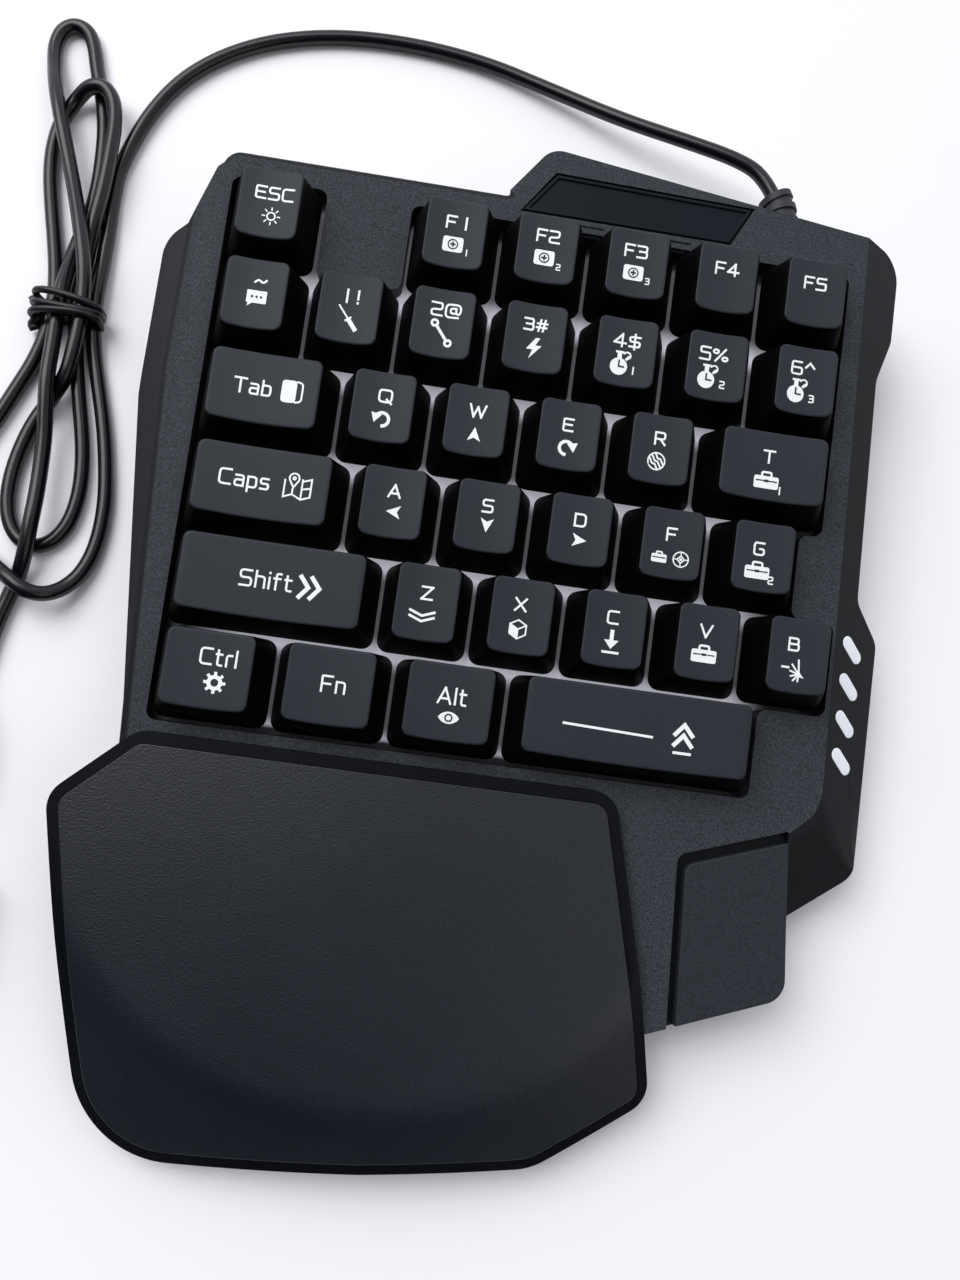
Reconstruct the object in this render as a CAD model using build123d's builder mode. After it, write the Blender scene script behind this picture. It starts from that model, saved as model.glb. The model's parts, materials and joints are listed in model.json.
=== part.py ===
from build123d import *
from math import cos, dist, pi, radians, tan
import os

os.makedirs("parts", exist_ok=True)


# Driving sizes, in millimetres

key_pitch = 19.05
block_units = 7.25
block_rows = 6
side_room = 30.6
palm_room = 104.7
deck_height = 20
deck_tilt = 5
foot_height = 1.5
wall = 2
floor_thickness = 1.8
overrun = 60

block_width = block_units * key_pitch
block_depth = block_rows * key_pitch
case_width = block_width + side_room
case_depth = block_depth + palm_room
slide_gap = 0.1
seam_gap = 0.15
seat_gap = 0.05

# The deck plane lies on the textured top, over the middle of the case, and leans down towards the user
deck = Plane(origin=(0, 0, deck_height)).rotated((deck_tilt, 0, 0))
block_x_share = -0.4025
block_y_share = 0.158
block_left = case_width * block_x_share
block_back = case_depth * block_y_share + block_depth / 2


def places(shares):
    return [(case_width * x, case_depth * y) for x, y in shares]


def deck_at(height):
    return deck.offset(height)


# Keys: a cap and its stem are one moulding, and each name has its left edge and width in key pitches

key_rows = [
    [("esc", 0, 1), ("f1", 2, 1), ("f2", 3, 1), ("f3", 4, 1), ("f4", 5, 1), ("f5", 6, 1)],
    [("grave", 0, 1), ("1", 1, 1), ("2", 2, 1), ("3", 3, 1), ("4", 4, 1), ("5", 5, 1), ("6", 6, 1)],
    [("tab", 0, 1.5), ("q", 1.5, 1), ("w", 2.5, 1), ("e", 3.5, 1), ("r", 4.5, 1), ("t", 5.5, 1.5)],
    [("caps", 0, 1.75), ("a", 1.75, 1), ("s", 2.75, 1), ("d", 3.75, 1), ("f", 4.75, 1), ("g", 5.75, 1)],
    [("shift", 0, 2.25), ("z", 2.25, 1), ("x", 3.25, 1), ("c", 4.25, 1), ("v", 5.25, 1), ("b", 6.25, 1)],
    [("ctrl", 0, 1.25), ("fn", 1.25, 1.25), ("alt", 2.5, 1.25), ("space", 3.75, 2.75)],
]
key_gap = 1
key_height = 9
key_sink = 1
key_travel = 3.5
key_side_slope = 2.95
key_top_depth = 14.2
low_top_depth = 15.1
low_rows = 2
key_top_shift = 1.5
key_base_corner = 2.4
key_inner_corner = 1
key_top_corner = 1.6
key_wall = 1.2
key_roof = 1.5
dish_depth = 0.6
stem_width = 5.4
stem_tip = 0.3
barb_reach = 0.6
barb_height = 0.8
wide_key_units = 2
post_width = 2.4
sleeve_wall = 1.2
sleeve_height = 6.3
plate_drop = 4.8
plate_thickness = 1.3
plate_margin = 2
plate_corner = 2
plate_rim = 1.2
dome_wall = 0.4
mat_thickness = 0.4
film_thickness = 0.3
board_thickness = 1.2

key_top = key_height - key_sink
ceiling = key_top - dish_depth - key_roof
plate_under = -plate_drop - plate_thickness
barb_top = plate_under - slide_gap
stem_end = barb_top - barb_height - stem_tip
dome_top = stem_end - seat_gap
dome_height = key_travel + dome_wall
mat_top = dome_top - dome_height
mat_under = mat_top - mat_thickness
film_under = mat_under - film_thickness
board_under = film_under - board_thickness


def key_centre(row, left, units):
    return (block_left + (left + units / 2) * key_pitch, block_back - (row + 0.5) * key_pitch)


def post_offset(units):
    return units * key_pitch / 2 - key_pitch / 2


def make_key(name, row, left, units):
    x, y = key_centre(row, left, units)
    width = units * key_pitch - key_gap
    depth = key_pitch - key_gap
    top_width = width - 2 * key_side_slope
    top_depth = low_top_depth if row >= block_rows - low_rows else key_top_depth
    dish_radius = (top_width**2 / 4 + dish_depth**2) / (2 * dish_depth)
    long_key = units > wide_key_units
    with BuildPart() as key:
        with BuildSketch(deck_at(-key_sink)):
            with Locations((x, y)):
                RectangleRounded(width, depth, key_base_corner)
        with BuildSketch(deck_at(key_top)):
            with Locations((x, y + key_top_shift)):
                RectangleRounded(top_width, top_depth, key_top_corner)
        loft(ruled=True)
        with BuildSketch(deck_at(-key_sink)):
            with Locations((x, y)):
                RectangleRounded(width - 2 * key_wall, depth - 2 * key_wall, key_inner_corner)
        with BuildSketch(deck_at(ceiling)):
            with Locations((x, y + key_top_shift)):
                RectangleRounded(top_width - key_wall, top_depth - key_wall, key_inner_corner)
        loft(ruled=True, mode=Mode.SUBTRACT)
        with BuildSketch(deck_at(key_top).rotated((90, 0, 0))):
            with Locations((x, dish_radius - dish_depth)):
                Circle(dish_radius)
        extrude(amount=overrun * 2, both=True, mode=Mode.SUBTRACT)
        with BuildSketch(deck_at(stem_end)):
            with Locations((x, y)):
                Rectangle(stem_width, stem_width)
        extrude(amount=ceiling - stem_end + key_roof / 2)
        with BuildSketch(deck_at(stem_end + stem_tip)):
            with Locations((x, y)):
                Rectangle(stem_width + 2 * barb_reach, stem_width / 2)
        extrude(amount=barb_height)
        if long_key:
            with BuildSketch(deck_at(plate_under)):
                with Locations((x - post_offset(units), y), (x + post_offset(units), y)):
                    Rectangle(post_width, post_width)
            extrude(amount=ceiling - plate_under + key_roof / 2)
    key.part.label = "key_" + name
    export_step(key.part, "parts/key_" + name + ".step")
    return key.part


for row, keys in enumerate(key_rows):
    for name, left, units in keys:
        make_key(name, row, left, units)


# Case outlines, from the back left corner round by the right, with a fillet for each corner

case_shares = [
    (-0.417, 0.448), (-0.062, 0.449), (-0.014, 0.500), (0.469, 0.458), (0.469, 0.373), (0.449, 0.327),
    (0.455, 0.101), (0.496, 0.066), (0.495, -0.165), (0.400, -0.218), (0.408, -0.285), (0.241, -0.332),
    (0.211, -0.314), (0.131, -0.145), (-0.431, -0.145), (-0.436, -0.090), (-0.475, 0.124),
    (-0.490, 0.206), (-0.488, 0.362), (-0.451, 0.366),
]
palm_shares = [
    (-0.407, -0.116), (-0.500, -0.183), (-0.405, -0.504), (-0.079, -0.485), (0.126, -0.467),
    (0.261, -0.395), (0.167, -0.116),
]
thumb_block_shares = [
    (0.131, -0.063), (0.309, -0.063), (0.391, -0.132), (0.400, -0.218), (0.408, -0.285), (0.241, -0.332),
    (0.211, -0.314), (0.131, -0.145),
]
thumb_zone_shares = [(0.255, -0.165), (0.460, -0.112), (0.460, -0.383), (0.270, -0.383)]
tight_corner = 1
soft_corner = 4
bump_corner = 5
wing_corner = 6
palm_back_corner = 6
palm_side_corner = 12
palm_front_corner = 20
case_corners = {
    0: soft_corner, 1: tight_corner, 2: bump_corner, 3: wing_corner, 4: wing_corner, 5: wing_corner,
    6: soft_corner, 7: soft_corner, 8: bump_corner, 10: bump_corner, 18: soft_corner,
}
palm_corners = {
    0: palm_back_corner, 1: palm_back_corner, 2: palm_front_corner, 4: palm_side_corner,
    5: palm_back_corner, 6: palm_back_corner,
}

thumb_block_corners = {4: bump_corner}

# The wings are facets that fall from lines on the deck
left_wing_shares = [(-0.450, 0.462), (-0.450, 0.225), (-0.427, -0.122)]
right_wing_shares = [(0.411, 0.462), (0.428, -0.106), (0.391, -0.132)]
left_wing_slope = 45
right_wing_slope = 30
corner_wing_slope = 20.5
parting_depth = 9
parting_gap = 0.1


def outline(shares, corners, inset=0):
    with BuildSketch(Plane.XY) as sketch:
        with BuildLine():
            Polyline(*places(shares), close=True)
        make_face()
        spots = [Vector(*place) for place in places(shares)]
        for index, corner in corners.items():
            fillet(sketch.vertices().sort_by_distance(spots[index])[0], corner)
        if inset:
            offset(amount=-inset, kind=Kind.INTERSECTION)
    return sketch.sketch


def facet(shares, first, slope):
    ends = [Vector(x, y, deck_z(y)) for x, y in places(shares)]
    edge = Axis(ends[first], ends[first + 1] - ends[first])
    return Plane(origin=edge.position, x_dir=edge.direction, z_dir=deck.z_dir.rotate(edge, slope))


def case_body(inset, drop):
    with BuildPart() as body:
        add(outline(case_shares, case_corners, inset))
        extrude(amount=overrun)
        split(bisect_by=deck_at(-drop), keep=Keep.BOTTOM)
        for shares, first, slope in wing_facets:
            split(bisect_by=facet(shares, first, slope).offset(-drop), keep=Keep.BOTTOM)
    return body.part


wing_facets = [
    (left_wing_shares, 0, left_wing_slope),
    (left_wing_shares, 1, left_wing_slope),
    (right_wing_shares, 0, -right_wing_slope),
    (right_wing_shares, 1, -corner_wing_slope),
]


def thumb_body(inset, drop):
    with BuildPart() as body:
        add(outline(thumb_block_shares, thumb_block_corners, inset))
        extrude(amount=overrun)
        split(bisect_by=deck_at(-drop), keep=Keep.BOTTOM)
    return body.part


def block_rows_sketch(height, margin, corner):
    with BuildSketch(deck_at(height)) as sketch:
        for row, keys in enumerate(key_rows):
            for name, left, units in keys:
                with Locations(key_centre(row, left, units)):
                    Rectangle(units * key_pitch + 2 * margin, key_pitch + 2 * margin)
        if corner:
            fillet(sketch.vertices(), corner)
    return sketch.sketch


# Top case: the deck, both wings and the skirt, open below, with a collar round the key well

well_clearance = 0.5
well_corner = 2
collar_wall = 1.2
boss_radius = 3
pilot_radius = 1.3
shank_radius = 1.25
shank_hole_radius = 1.5
head_radius = 2.6
head_hole_radius = 2.8
head_height = 1.6
ledge_height = 2.4
screw_reach = 4.5
pilot_depth = 5
palm_boss_top = 6
case_boss_shares = [
    (-0.455, 0.279), (-0.4415, 0.088), (-0.234, 0.384), (0.119, 0.461), (0.433, 0.394), (0.457, -0.122),
    (0.380, -0.072), (0.214, -0.145), (0.333, -0.237),
]
palm_boss_shares = [(-0.331, -0.200), (-0.331, -0.383), (0.072, -0.177), (0.095, -0.360)]
thumb_recess = 2.2
thumb_groove = 1.8
thumb_rise = 0.25
thumb_corner = 2.5
name_width = 50.7
name_depth = 9.7
name_setback = 8
name_x_share = 0.106
name_shares = [(-0.500, -0.500), (0.413, -0.490), (0.500, 0.430), (-0.368, 0.500)]
name_recess = 1.2
name_rim = 0.9
name_sink = 0.4
light_shares = (0.453, 0.053)
light_pitch = 8
light_count = 4
light_length = 6.4
light_width = 2
light_turn = -51
light_strip = 1.5
light_strip_width = 5


def deck_z(y):
    return deck_height + y * tan(radians(deck_tilt))


def parting_z(y):
    return deck_z(y) - parting_depth / cos(radians(deck_tilt))


def ground_disc(x, y, bottom, radius, height):
    with BuildPart() as disc:
        with BuildSketch(Plane.XY.offset(bottom)):
            with Locations((x, y)):
                Circle(radius)
        extrude(amount=height)
    return disc.part


def palm_block(inset, bottom, height):
    with BuildPart() as block:
        add(outline(palm_shares, palm_corners, inset))
        extrude(amount=height)
    return Pos(0, 0, bottom) * block.part


def thumb_zone(shift):
    with BuildSketch(Plane.XY) as sketch:
        with BuildLine():
            Polyline(*places(thumb_zone_shares), close=True)
        make_face()
        fillet(sketch.vertices().sort_by(Axis.X)[0], thumb_corner)
    with BuildPart() as zone:
        add(Pos(shift, -shift, 0) * sketch.sketch)
        extrude(amount=overrun)
        with BuildSketch(Plane.XY):
            add(outline(thumb_block_shares, thumb_block_corners))
        extrude(amount=overrun, mode=Mode.INTERSECT)
    return zone.part


def thumb_layer(shift, upper, lower):
    """The thumb zone, moved in from its corner, between two heights over the deck plane."""
    with BuildPart() as layer:
        add(thumb_zone(shift))
        split(bisect_by=deck_at(upper), keep=Keep.BOTTOM)
        split(bisect_by=deck_at(lower), keep=Keep.TOP)
    return layer.part


def name_sketch(height, inset):
    with BuildSketch(Plane.XY) as shape:
        with BuildLine():
            Polyline(*[(name_width * x, name_depth * y) for x, y in name_shares], close=True)
        make_face()
        offset(amount=-inset, kind=Kind.INTERSECTION)
    with BuildSketch(deck_at(height)) as sketch:
        with Locations((case_width * name_x_share, block_back + name_setback)):
            add(shape.sketch)
    return sketch.sketch


def light_slots(shrink):
    with BuildSketch(Plane.XY) as sketch:
        x, y = case_width * light_shares[0], case_depth * light_shares[1]
        with Locations(*[Location((x, y - step * light_pitch), light_turn) for step in range(light_count)]):
            SlotOverall(light_length - 2 * shrink, light_width - 2 * shrink)
    return sketch.sketch


def prism(sketch, height, both=False, direction=deck.z_dir):
    with BuildPart() as body:
        add(sketch)
        extrude(amount=height, both=both, dir=direction)
    return body.part


def save(part, name):
    part.label = name
    export_step(part, "parts/" + name + ".step")


outer_body = case_body(0, 0) + thumb_body(0, 0)
thumb_keep = thumb_layer(-thumb_groove, overrun, -wall - thumb_recess)
with BuildPart() as inner_body:
    add(case_body(wall, wall))
    add(thumb_keep, mode=Mode.SUBTRACT)
    add(thumb_body(wall, wall + thumb_recess))
    add(prism(name_sketch(-wall - name_recess, -wall), overrun), mode=Mode.SUBTRACT)
    for x, y in places(case_boss_shares):
        add(ground_disc(x, y, 0, boss_radius, overrun), mode=Mode.SUBTRACT)

with BuildPart() as top_case:
    add(outer_body)
    add(inner_body.part, mode=Mode.SUBTRACT)
    split(bisect_by=deck_at(-parting_depth), keep=Keep.TOP)
    add(prism(block_rows_sketch(-plate_drop, well_clearance + collar_wall, 0), plate_drop - wall / 2))
    add(prism(block_rows_sketch(0, well_clearance, well_corner), overrun, both=True), mode=Mode.SUBTRACT)
    add(palm_block(-seam_gap, 0, overrun), mode=Mode.SUBTRACT)
    add(prism(name_sketch(-name_recess, 0), overrun), mode=Mode.SUBTRACT)
    add(thumb_layer(0, overrun, -thumb_recess), mode=Mode.SUBTRACT)
    add(prism(light_slots(0), overrun, direction=Vector(0, 0, 1)), mode=Mode.SUBTRACT)
    for x, y in places(case_boss_shares):
        pilot_bottom = parting_z(y) - ledge_height
        add(ground_disc(x, y, pilot_bottom, pilot_radius, ledge_height + pilot_depth), mode=Mode.SUBTRACT)
save(top_case.part, "top_case")

with BuildPart() as nameplate:
    add(prism(name_sketch(-name_recess, slide_gap), name_recess))
    add(prism(name_sketch(-name_sink, name_rim), overrun), mode=Mode.SUBTRACT)
save(nameplate.part, "nameplate")

with BuildPart() as thumb_rest:
    add(thumb_layer(thumb_groove, thumb_rise, -thumb_recess))
save(thumb_rest.part, "thumb_rest")

# Guide plate: the white plate under the caps, with a square tube for each stem and a rim that clamps the mat

with BuildPart() as guide_plate:
    add(prism(block_rows_sketch(mat_top, plate_margin, plate_corner), -plate_drop - mat_top))
    rim_sketch = block_rows_sketch(mat_top, plate_margin - plate_rim, 0)
    add(prism(rim_sketch, plate_under - mat_top), mode=Mode.SUBTRACT)
    sleeves = []
    posts = []
    for row, keys in enumerate(key_rows):
        for name, left, units in keys:
            x, y = key_centre(row, left, units)
            sleeves.append((x, y))
            if units > wide_key_units:
                posts.append((x - post_offset(units), y))
                posts.append((x + post_offset(units), y))
    with BuildSketch(deck_at(-plate_drop)):
        with Locations(*sleeves):
            Rectangle(stem_width + 2 * (slide_gap + sleeve_wall), stem_width + 2 * (slide_gap + sleeve_wall))
        with Locations(*posts):
            Rectangle(post_width + 2 * (slide_gap + sleeve_wall), post_width + 2 * (slide_gap + sleeve_wall))
    extrude(amount=sleeve_height)
    with BuildSketch(deck_at(plate_under)):
        with Locations(*sleeves):
            Rectangle(stem_width + 2 * slide_gap, stem_width + 2 * slide_gap)
        with Locations(*posts):
            Rectangle(post_width + 2 * slide_gap, post_width + 2 * slide_gap)
    extrude(amount=sleeve_height + plate_thickness, mode=Mode.SUBTRACT)
save(guide_plate.part, "guide_plate")

# Rubber dome mat, switch film and backlight board, clamped between the guide plate and the bottom case

dome_base_radius = 5
dome_crown_radius = 2.8
light_chip_length = 2
light_chip_width = 1.2
light_chip_height = 0.6
light_chip_gap = 0.3
chips_per_row = 3
chip_stride = 2


def block_plate(height, thickness):
    return prism(block_rows_sketch(height, plate_margin, plate_corner), -thickness)


def chip_spots():
    spots = []
    for row in range(1, block_rows):
        x_first = block_left + key_rows[row][1][1] * key_pitch
        for step in range(chips_per_row):
            spots.append((x_first + chip_stride * step * key_pitch, block_back - row * key_pitch))
    return spots


def chip_holes(height, thickness):
    with BuildPart() as holes:
        with BuildSketch(deck_at(height)):
            with Locations(*chip_spots()):
                Rectangle(light_chip_length + 2 * light_chip_gap, light_chip_width + 2 * light_chip_gap)
        extrude(amount=-thickness)
    return holes.part


with BuildPart() as dome:
    with BuildSketch(Plane.XZ):
        with BuildLine():
            Polyline(
                (dome_base_radius, 0), (dome_crown_radius, dome_height), (0, dome_height),
                (0, dome_height - dome_wall), (dome_crown_radius - dome_wall, dome_height - dome_wall),
                (dome_base_radius - dome_wall, -mat_thickness), (dome_base_radius, -mat_thickness),
                close=True,
            )
        make_face()
    revolve(axis=Axis.Z)
with BuildPart() as dome_mat:
    add(block_plate(mat_top, mat_thickness))
    with BuildSketch(deck_at(mat_top)):
        with Locations(*sleeves):
            Circle(dome_base_radius - dome_wall / 2)
    extrude(amount=-mat_thickness, mode=Mode.SUBTRACT)
    with Locations(*[deck_at(mat_top) * Location(spot) for spot in sleeves]):
        add(dome.part)
    add(chip_holes(mat_top, mat_thickness), mode=Mode.SUBTRACT)
save(dome_mat.part, "dome_mat")

with BuildPart() as switch_film:
    add(block_plate(mat_under, film_thickness))
    add(chip_holes(mat_under, film_thickness), mode=Mode.SUBTRACT)
save(switch_film.part, "switch_film")

with BuildPart() as backlight_board:
    add(block_plate(film_under, board_thickness))
save(backlight_board.part, "backlight_board")

with BuildPart() as backlight_chips:
    with BuildSketch(deck_at(film_under)):
        with Locations(*chip_spots()):
            Rectangle(light_chip_length, light_chip_width)
    extrude(amount=light_chip_height)
save(backlight_chips.part, "backlight_chips")


# Where the cable comes in, through the back wall
cable_x_share = 0.327
cable_height = 12
cable_hole_radius = 3.6
cable_hole_depth = 6
boot_gap = 0.1
controller_shares = (0.266, 0.413)
controller_length = 32
controller_width = 13
controller_thickness = 1.2
controller_post = 2
controller_post_radius = 1.6
controller_post_inset = 3


def back_wall_y(x):
    (left_x, left_y), (right_x, right_y) = places(case_shares[2:4])
    return left_y + (right_y - left_y) * (x - left_x) / (right_x - left_x)


cable_x = case_width * cable_x_share
cable_wall_y = back_wall_y(cable_x)
controller_x, controller_y = places([controller_shares])[0]

# Bottom case: floor, walls up to the parting line, screw bosses, posts under the boards and foot pockets

support_radius = 2.2
support_shares = [
    (-0.350, 0.380), (-0.100, 0.330), (0.150, 0.380), (0.330, 0.330), (-0.350, 0.130), (-0.100, 0.130),
    (0.150, 0.130), (0.330, 0.090), (-0.350, -0.060), (-0.060, -0.060), (0.230, -0.060),
]
foot_radius = 6
foot_recess = 0.5
rubber_foot_shares = [
    (-0.400, -0.210), (-0.290, -0.430), (0.130, -0.400), (0.340, -0.200), (0.430, 0.040), (-0.420, 0.180),
]
floor_top = foot_height + floor_thickness
flip_x_share = 0.330
flip_y_share = 0.330
flip_width = 26
flip_length = 13
flip_thickness = 3.6
pocket_gap = 0.4
pocket_wall = 1.4
trunnion_radius = 1.2
trunnion_gap = 0.07
trunnion_reach = 1.1
pocket_depth = flip_thickness + pocket_gap


def screw_places():
    spots = [(x, y, parting_z(y) - parting_gap) for x, y in places(case_boss_shares)]
    return spots + [(x, y, palm_boss_top) for x, y in places(palm_boss_shares)]


def flip_spots():
    y = case_depth * flip_y_share
    return [(-case_width * flip_x_share, y), (case_width * flip_x_share, y)]


def flip_axis(y):
    return (y + flip_length / 2 - flip_thickness / 2, foot_height + pocket_gap / 2 + flip_thickness / 2)


def box_at(x, y, bottom, size_x, size_y, size_z):
    with BuildPart() as block:
        with BuildSketch(Plane.XY.offset(bottom)):
            with Locations((x, y)):
                Rectangle(size_x, size_y)
        extrude(amount=size_z)
    return block.part


def flip_pocket(x, y, bottom, margin, height):
    return box_at(x, y, bottom, flip_width + 2 * margin, flip_length + 2 * margin, height)


with BuildPart() as bottom_case:
    with BuildSketch(Plane.XY.offset(foot_height)):
        add(outline(case_shares, case_corners))
    extrude(amount=overrun)
    with BuildSketch(Plane.XY.offset(floor_top)):
        add(outline(case_shares, case_corners, wall))
    extrude(amount=overrun, mode=Mode.SUBTRACT)
    add(palm_block(-seam_gap, floor_top, overrun), mode=Mode.SUBTRACT)
    add(palm_block(0, foot_height, floor_thickness))
    for x, y in places(case_boss_shares):
        add(ground_disc(x, y, foot_height, boss_radius + wall / 2, overrun))
    for x, y in places(palm_boss_shares):
        add(ground_disc(x, y, foot_height, boss_radius + wall / 2, palm_boss_top - foot_height))
    for x, y in flip_spots():
        add(flip_pocket(x, y, foot_height, pocket_gap + pocket_wall, pocket_depth + pocket_wall))
    with BuildPart(mode=Mode.PRIVATE) as supports:
        for x, y in places(support_shares):
            add(ground_disc(x, y, floor_top - floor_thickness / 2, support_radius, overrun))
        split(bisect_by=deck_at(board_under - seat_gap), keep=Keep.BOTTOM)
    split(bisect_by=deck_at(-parting_depth - parting_gap), keep=Keep.BOTTOM)
    add(supports.part)
    for step_x in (-1, 1):
        for step_y in (-1, 1):
            post_x = controller_x + step_x * (controller_length / 2 - controller_post_inset)
            post_y = controller_y + step_y * (controller_width / 2 - controller_post_inset)
            post_height = floor_thickness + controller_post
            add(ground_disc(post_x, post_y, foot_height, controller_post_radius, post_height))
    with BuildSketch(Plane.XZ.offset(-cable_wall_y - wall)):
        with Locations((cable_x, cable_height)):
            Circle(cable_hole_radius)
    extrude(amount=cable_hole_depth, mode=Mode.SUBTRACT)
    for x, y, top in screw_places():
        add(ground_disc(x, y, 0, head_hole_radius, top - ledge_height), mode=Mode.SUBTRACT)
        add(ground_disc(x, y, 0, shank_hole_radius, overrun), mode=Mode.SUBTRACT)
    for x, y in places(rubber_foot_shares):
        add(ground_disc(x, y, 0, foot_radius + slide_gap, foot_height + foot_recess), mode=Mode.SUBTRACT)
    for x, y in flip_spots():
        add(flip_pocket(x, y, 0, pocket_gap, foot_height + pocket_depth), mode=Mode.SUBTRACT)
        with BuildSketch(Plane.YZ.offset(x)):
            with Locations(flip_axis(y)):
                Circle(trunnion_radius + trunnion_gap)
        extrude(amount=flip_width / 2 + trunnion_reach + pocket_gap, both=True, mode=Mode.SUBTRACT)
save(bottom_case.part, "bottom_case")

# Palm rest: a stiff base with a rim, and a rubber-faced pad let into it, both under one domed surface

palm_centre_share = (-0.118, -0.122)
palm_height = 21.2
palm_tilt = 4
palm_flat_radius = 64
palm_crease_radius = 25
palm_front_slope = 20
palm_rim_width = 2.6
palm_rim_drop = 1.1
pad_thickness = 2.2
palm_reach = 130
palm = Plane(origin=(case_width * palm_centre_share[0], case_depth * palm_centre_share[1], palm_height))
palm = palm.rotated((palm_tilt, 0, 0))


def palm_dome(drop):
    with BuildPart() as dome_form:
        with BuildSketch(Plane.XZ):
            with BuildLine():
                flat = Line((0, 0), (palm_flat_radius, 0))
                bend = JernArc(flat @ 1, (1, 0), palm_crease_radius, -palm_front_slope)
                slope_end = bend @ 1 + (bend % 1) * (palm_reach - palm_flat_radius)
                Line(bend @ 1, slope_end)
                Polyline(slope_end, (slope_end.X, -palm_reach), (0, -palm_reach), (0, 0))
            make_face()
        revolve(axis=Axis.Z)
    return palm.offset(-drop).location * dome_form.part


with BuildPart() as pad_recess:
    add(palm_block(palm_rim_width - slide_gap, floor_top, overrun))
    add(palm_dome(pad_thickness), mode=Mode.SUBTRACT)
with BuildPart() as palm_hollow:
    add(palm_block(wall, floor_top, overrun))
    add(palm_dome(pad_thickness + wall), mode=Mode.INTERSECT)
    for x, y in places(palm_boss_shares):
        add(ground_disc(x, y, 0, boss_radius, overrun), mode=Mode.SUBTRACT)
with BuildPart() as palm_base:
    add(palm_block(0, floor_top, overrun))
    add(palm_dome(palm_rim_drop), mode=Mode.INTERSECT)
    add(pad_recess.part, mode=Mode.SUBTRACT)
    add(palm_hollow.part, mode=Mode.SUBTRACT)
    for x, y in places(palm_boss_shares):
        add(ground_disc(x, y, 0, boss_radius + wall, palm_boss_top), mode=Mode.SUBTRACT)
        add(ground_disc(x, y, 0, pilot_radius, palm_boss_top + pilot_depth), mode=Mode.SUBTRACT)
save(palm_base.part, "palm_rest_base")

with BuildPart() as palm_pad:
    add(palm_block(palm_rim_width, floor_top, overrun))
    add(palm_dome(0), mode=Mode.INTERSECT)
    add(palm_dome(pad_thickness - seat_gap), mode=Mode.SUBTRACT)
save(palm_pad.part, "palm_rest_pad")

# Side lights: a white strip with four bars that fill the slots of the right wing, and a board behind it

light_board_thickness = 1
light_board_width = 6
light_board_gap = 0.1


def wing_strip(width, upper, lower):
    x, y = case_width * light_shares[0], case_depth * light_shares[1]
    length = light_count * light_pitch
    wing = facet(right_wing_shares, 0, -right_wing_slope)
    with BuildPart() as strip:
        add(box_at(x, y - (light_count - 1) * light_pitch / 2, 0, width, length, overrun))
        split(bisect_by=wing.offset(-upper), keep=Keep.BOTTOM)
        split(bisect_by=wing.offset(-lower), keep=Keep.TOP)
    return strip.part


with BuildPart() as light_bars:
    wing = facet(right_wing_shares, 0, -right_wing_slope)
    add(prism(light_slots(slide_gap), overrun, direction=Vector(0, 0, 1)))
    split(bisect_by=wing.offset(-slide_gap), keep=Keep.BOTTOM)
    split(bisect_by=wing.offset(-wall - light_strip / 2), keep=Keep.TOP)
    add(wing_strip(light_strip_width, wall + seat_gap, wall + light_strip))
save(light_bars.part, "side_light_bars")

side_board_top = wall + light_strip + light_board_gap
with BuildPart() as side_light_board:
    add(wing_strip(light_board_width, side_board_top, side_board_top + light_board_thickness))
save(side_light_board.part, "side_light_board")

# Fasteners and feet

cross_width = 0.4

with BuildPart() as case_screws:
    for x, y, top in screw_places():
        seat = top - ledge_height
        with BuildPart(mode=Mode.PRIVATE) as screw:
            add(ground_disc(x, y, seat - head_height, head_radius, head_height))
            add(ground_disc(x, y, seat, shank_radius, ledge_height + screw_reach))
            with BuildSketch(Plane.XY.offset(seat - head_height)):
                with Locations((x, y)):
                    Rectangle(head_radius, cross_width)
                    Rectangle(cross_width, head_radius)
            extrude(amount=head_height / 2, mode=Mode.SUBTRACT)
        add(screw.part)
save(case_screws.part, "case_screws")

with BuildPart() as rubber_feet:
    with BuildSketch(Plane.XY):
        with Locations(*places(rubber_foot_shares)):
            Circle(foot_radius)
    extrude(amount=foot_height + foot_recess)
save(rubber_feet.part, "rubber_feet")


def flip_foot(x, y):
    axis_y, axis_z = flip_axis(y)
    with BuildPart() as foot:
        with BuildSketch(Plane.YZ.offset(x - flip_width / 2)):
            with Locations((axis_y, axis_z)):
                Circle(flip_thickness / 2)
            with Locations((axis_y - flip_length / 2 + flip_thickness / 2, axis_z)):
                Rectangle(flip_length - flip_thickness, flip_thickness)
        extrude(amount=flip_width)
        with BuildSketch(Plane.YZ.offset(x - flip_width / 2 - trunnion_reach)):
            with Locations((axis_y, axis_z)):
                Circle(trunnion_radius)
        extrude(amount=flip_width + 2 * trunnion_reach)
    return foot.part


for side, spot in zip(("left", "right"), flip_spots()):
    save(flip_foot(*spot), side + "_flip_foot")


# Controller board: on four posts by the cable's way in, with its chip and the cable's socket soldered on

chip_side = 7
chip_height = 1
socket_length = 8
socket_width = 4
socket_height = 7.5
controller_bottom = floor_top + controller_post + seat_gap
controller_top = controller_bottom + controller_thickness
socket_y = controller_y + controller_width / 2 - socket_width / 2

with BuildPart() as controller_board:
    add(box_at(
        controller_x, controller_y, controller_bottom,
        controller_length, controller_width, controller_thickness,
    ))
    add(box_at(controller_x - chip_side, controller_y, controller_top, chip_side, chip_side, chip_height))
    add(box_at(cable_x, socket_y, controller_top, socket_length, socket_width, socket_height))
save(controller_board.part, "controller_board")

# Cable: a free lead from the boot, a tied hank, and the rest wound in a coil that ends in the plug

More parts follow.
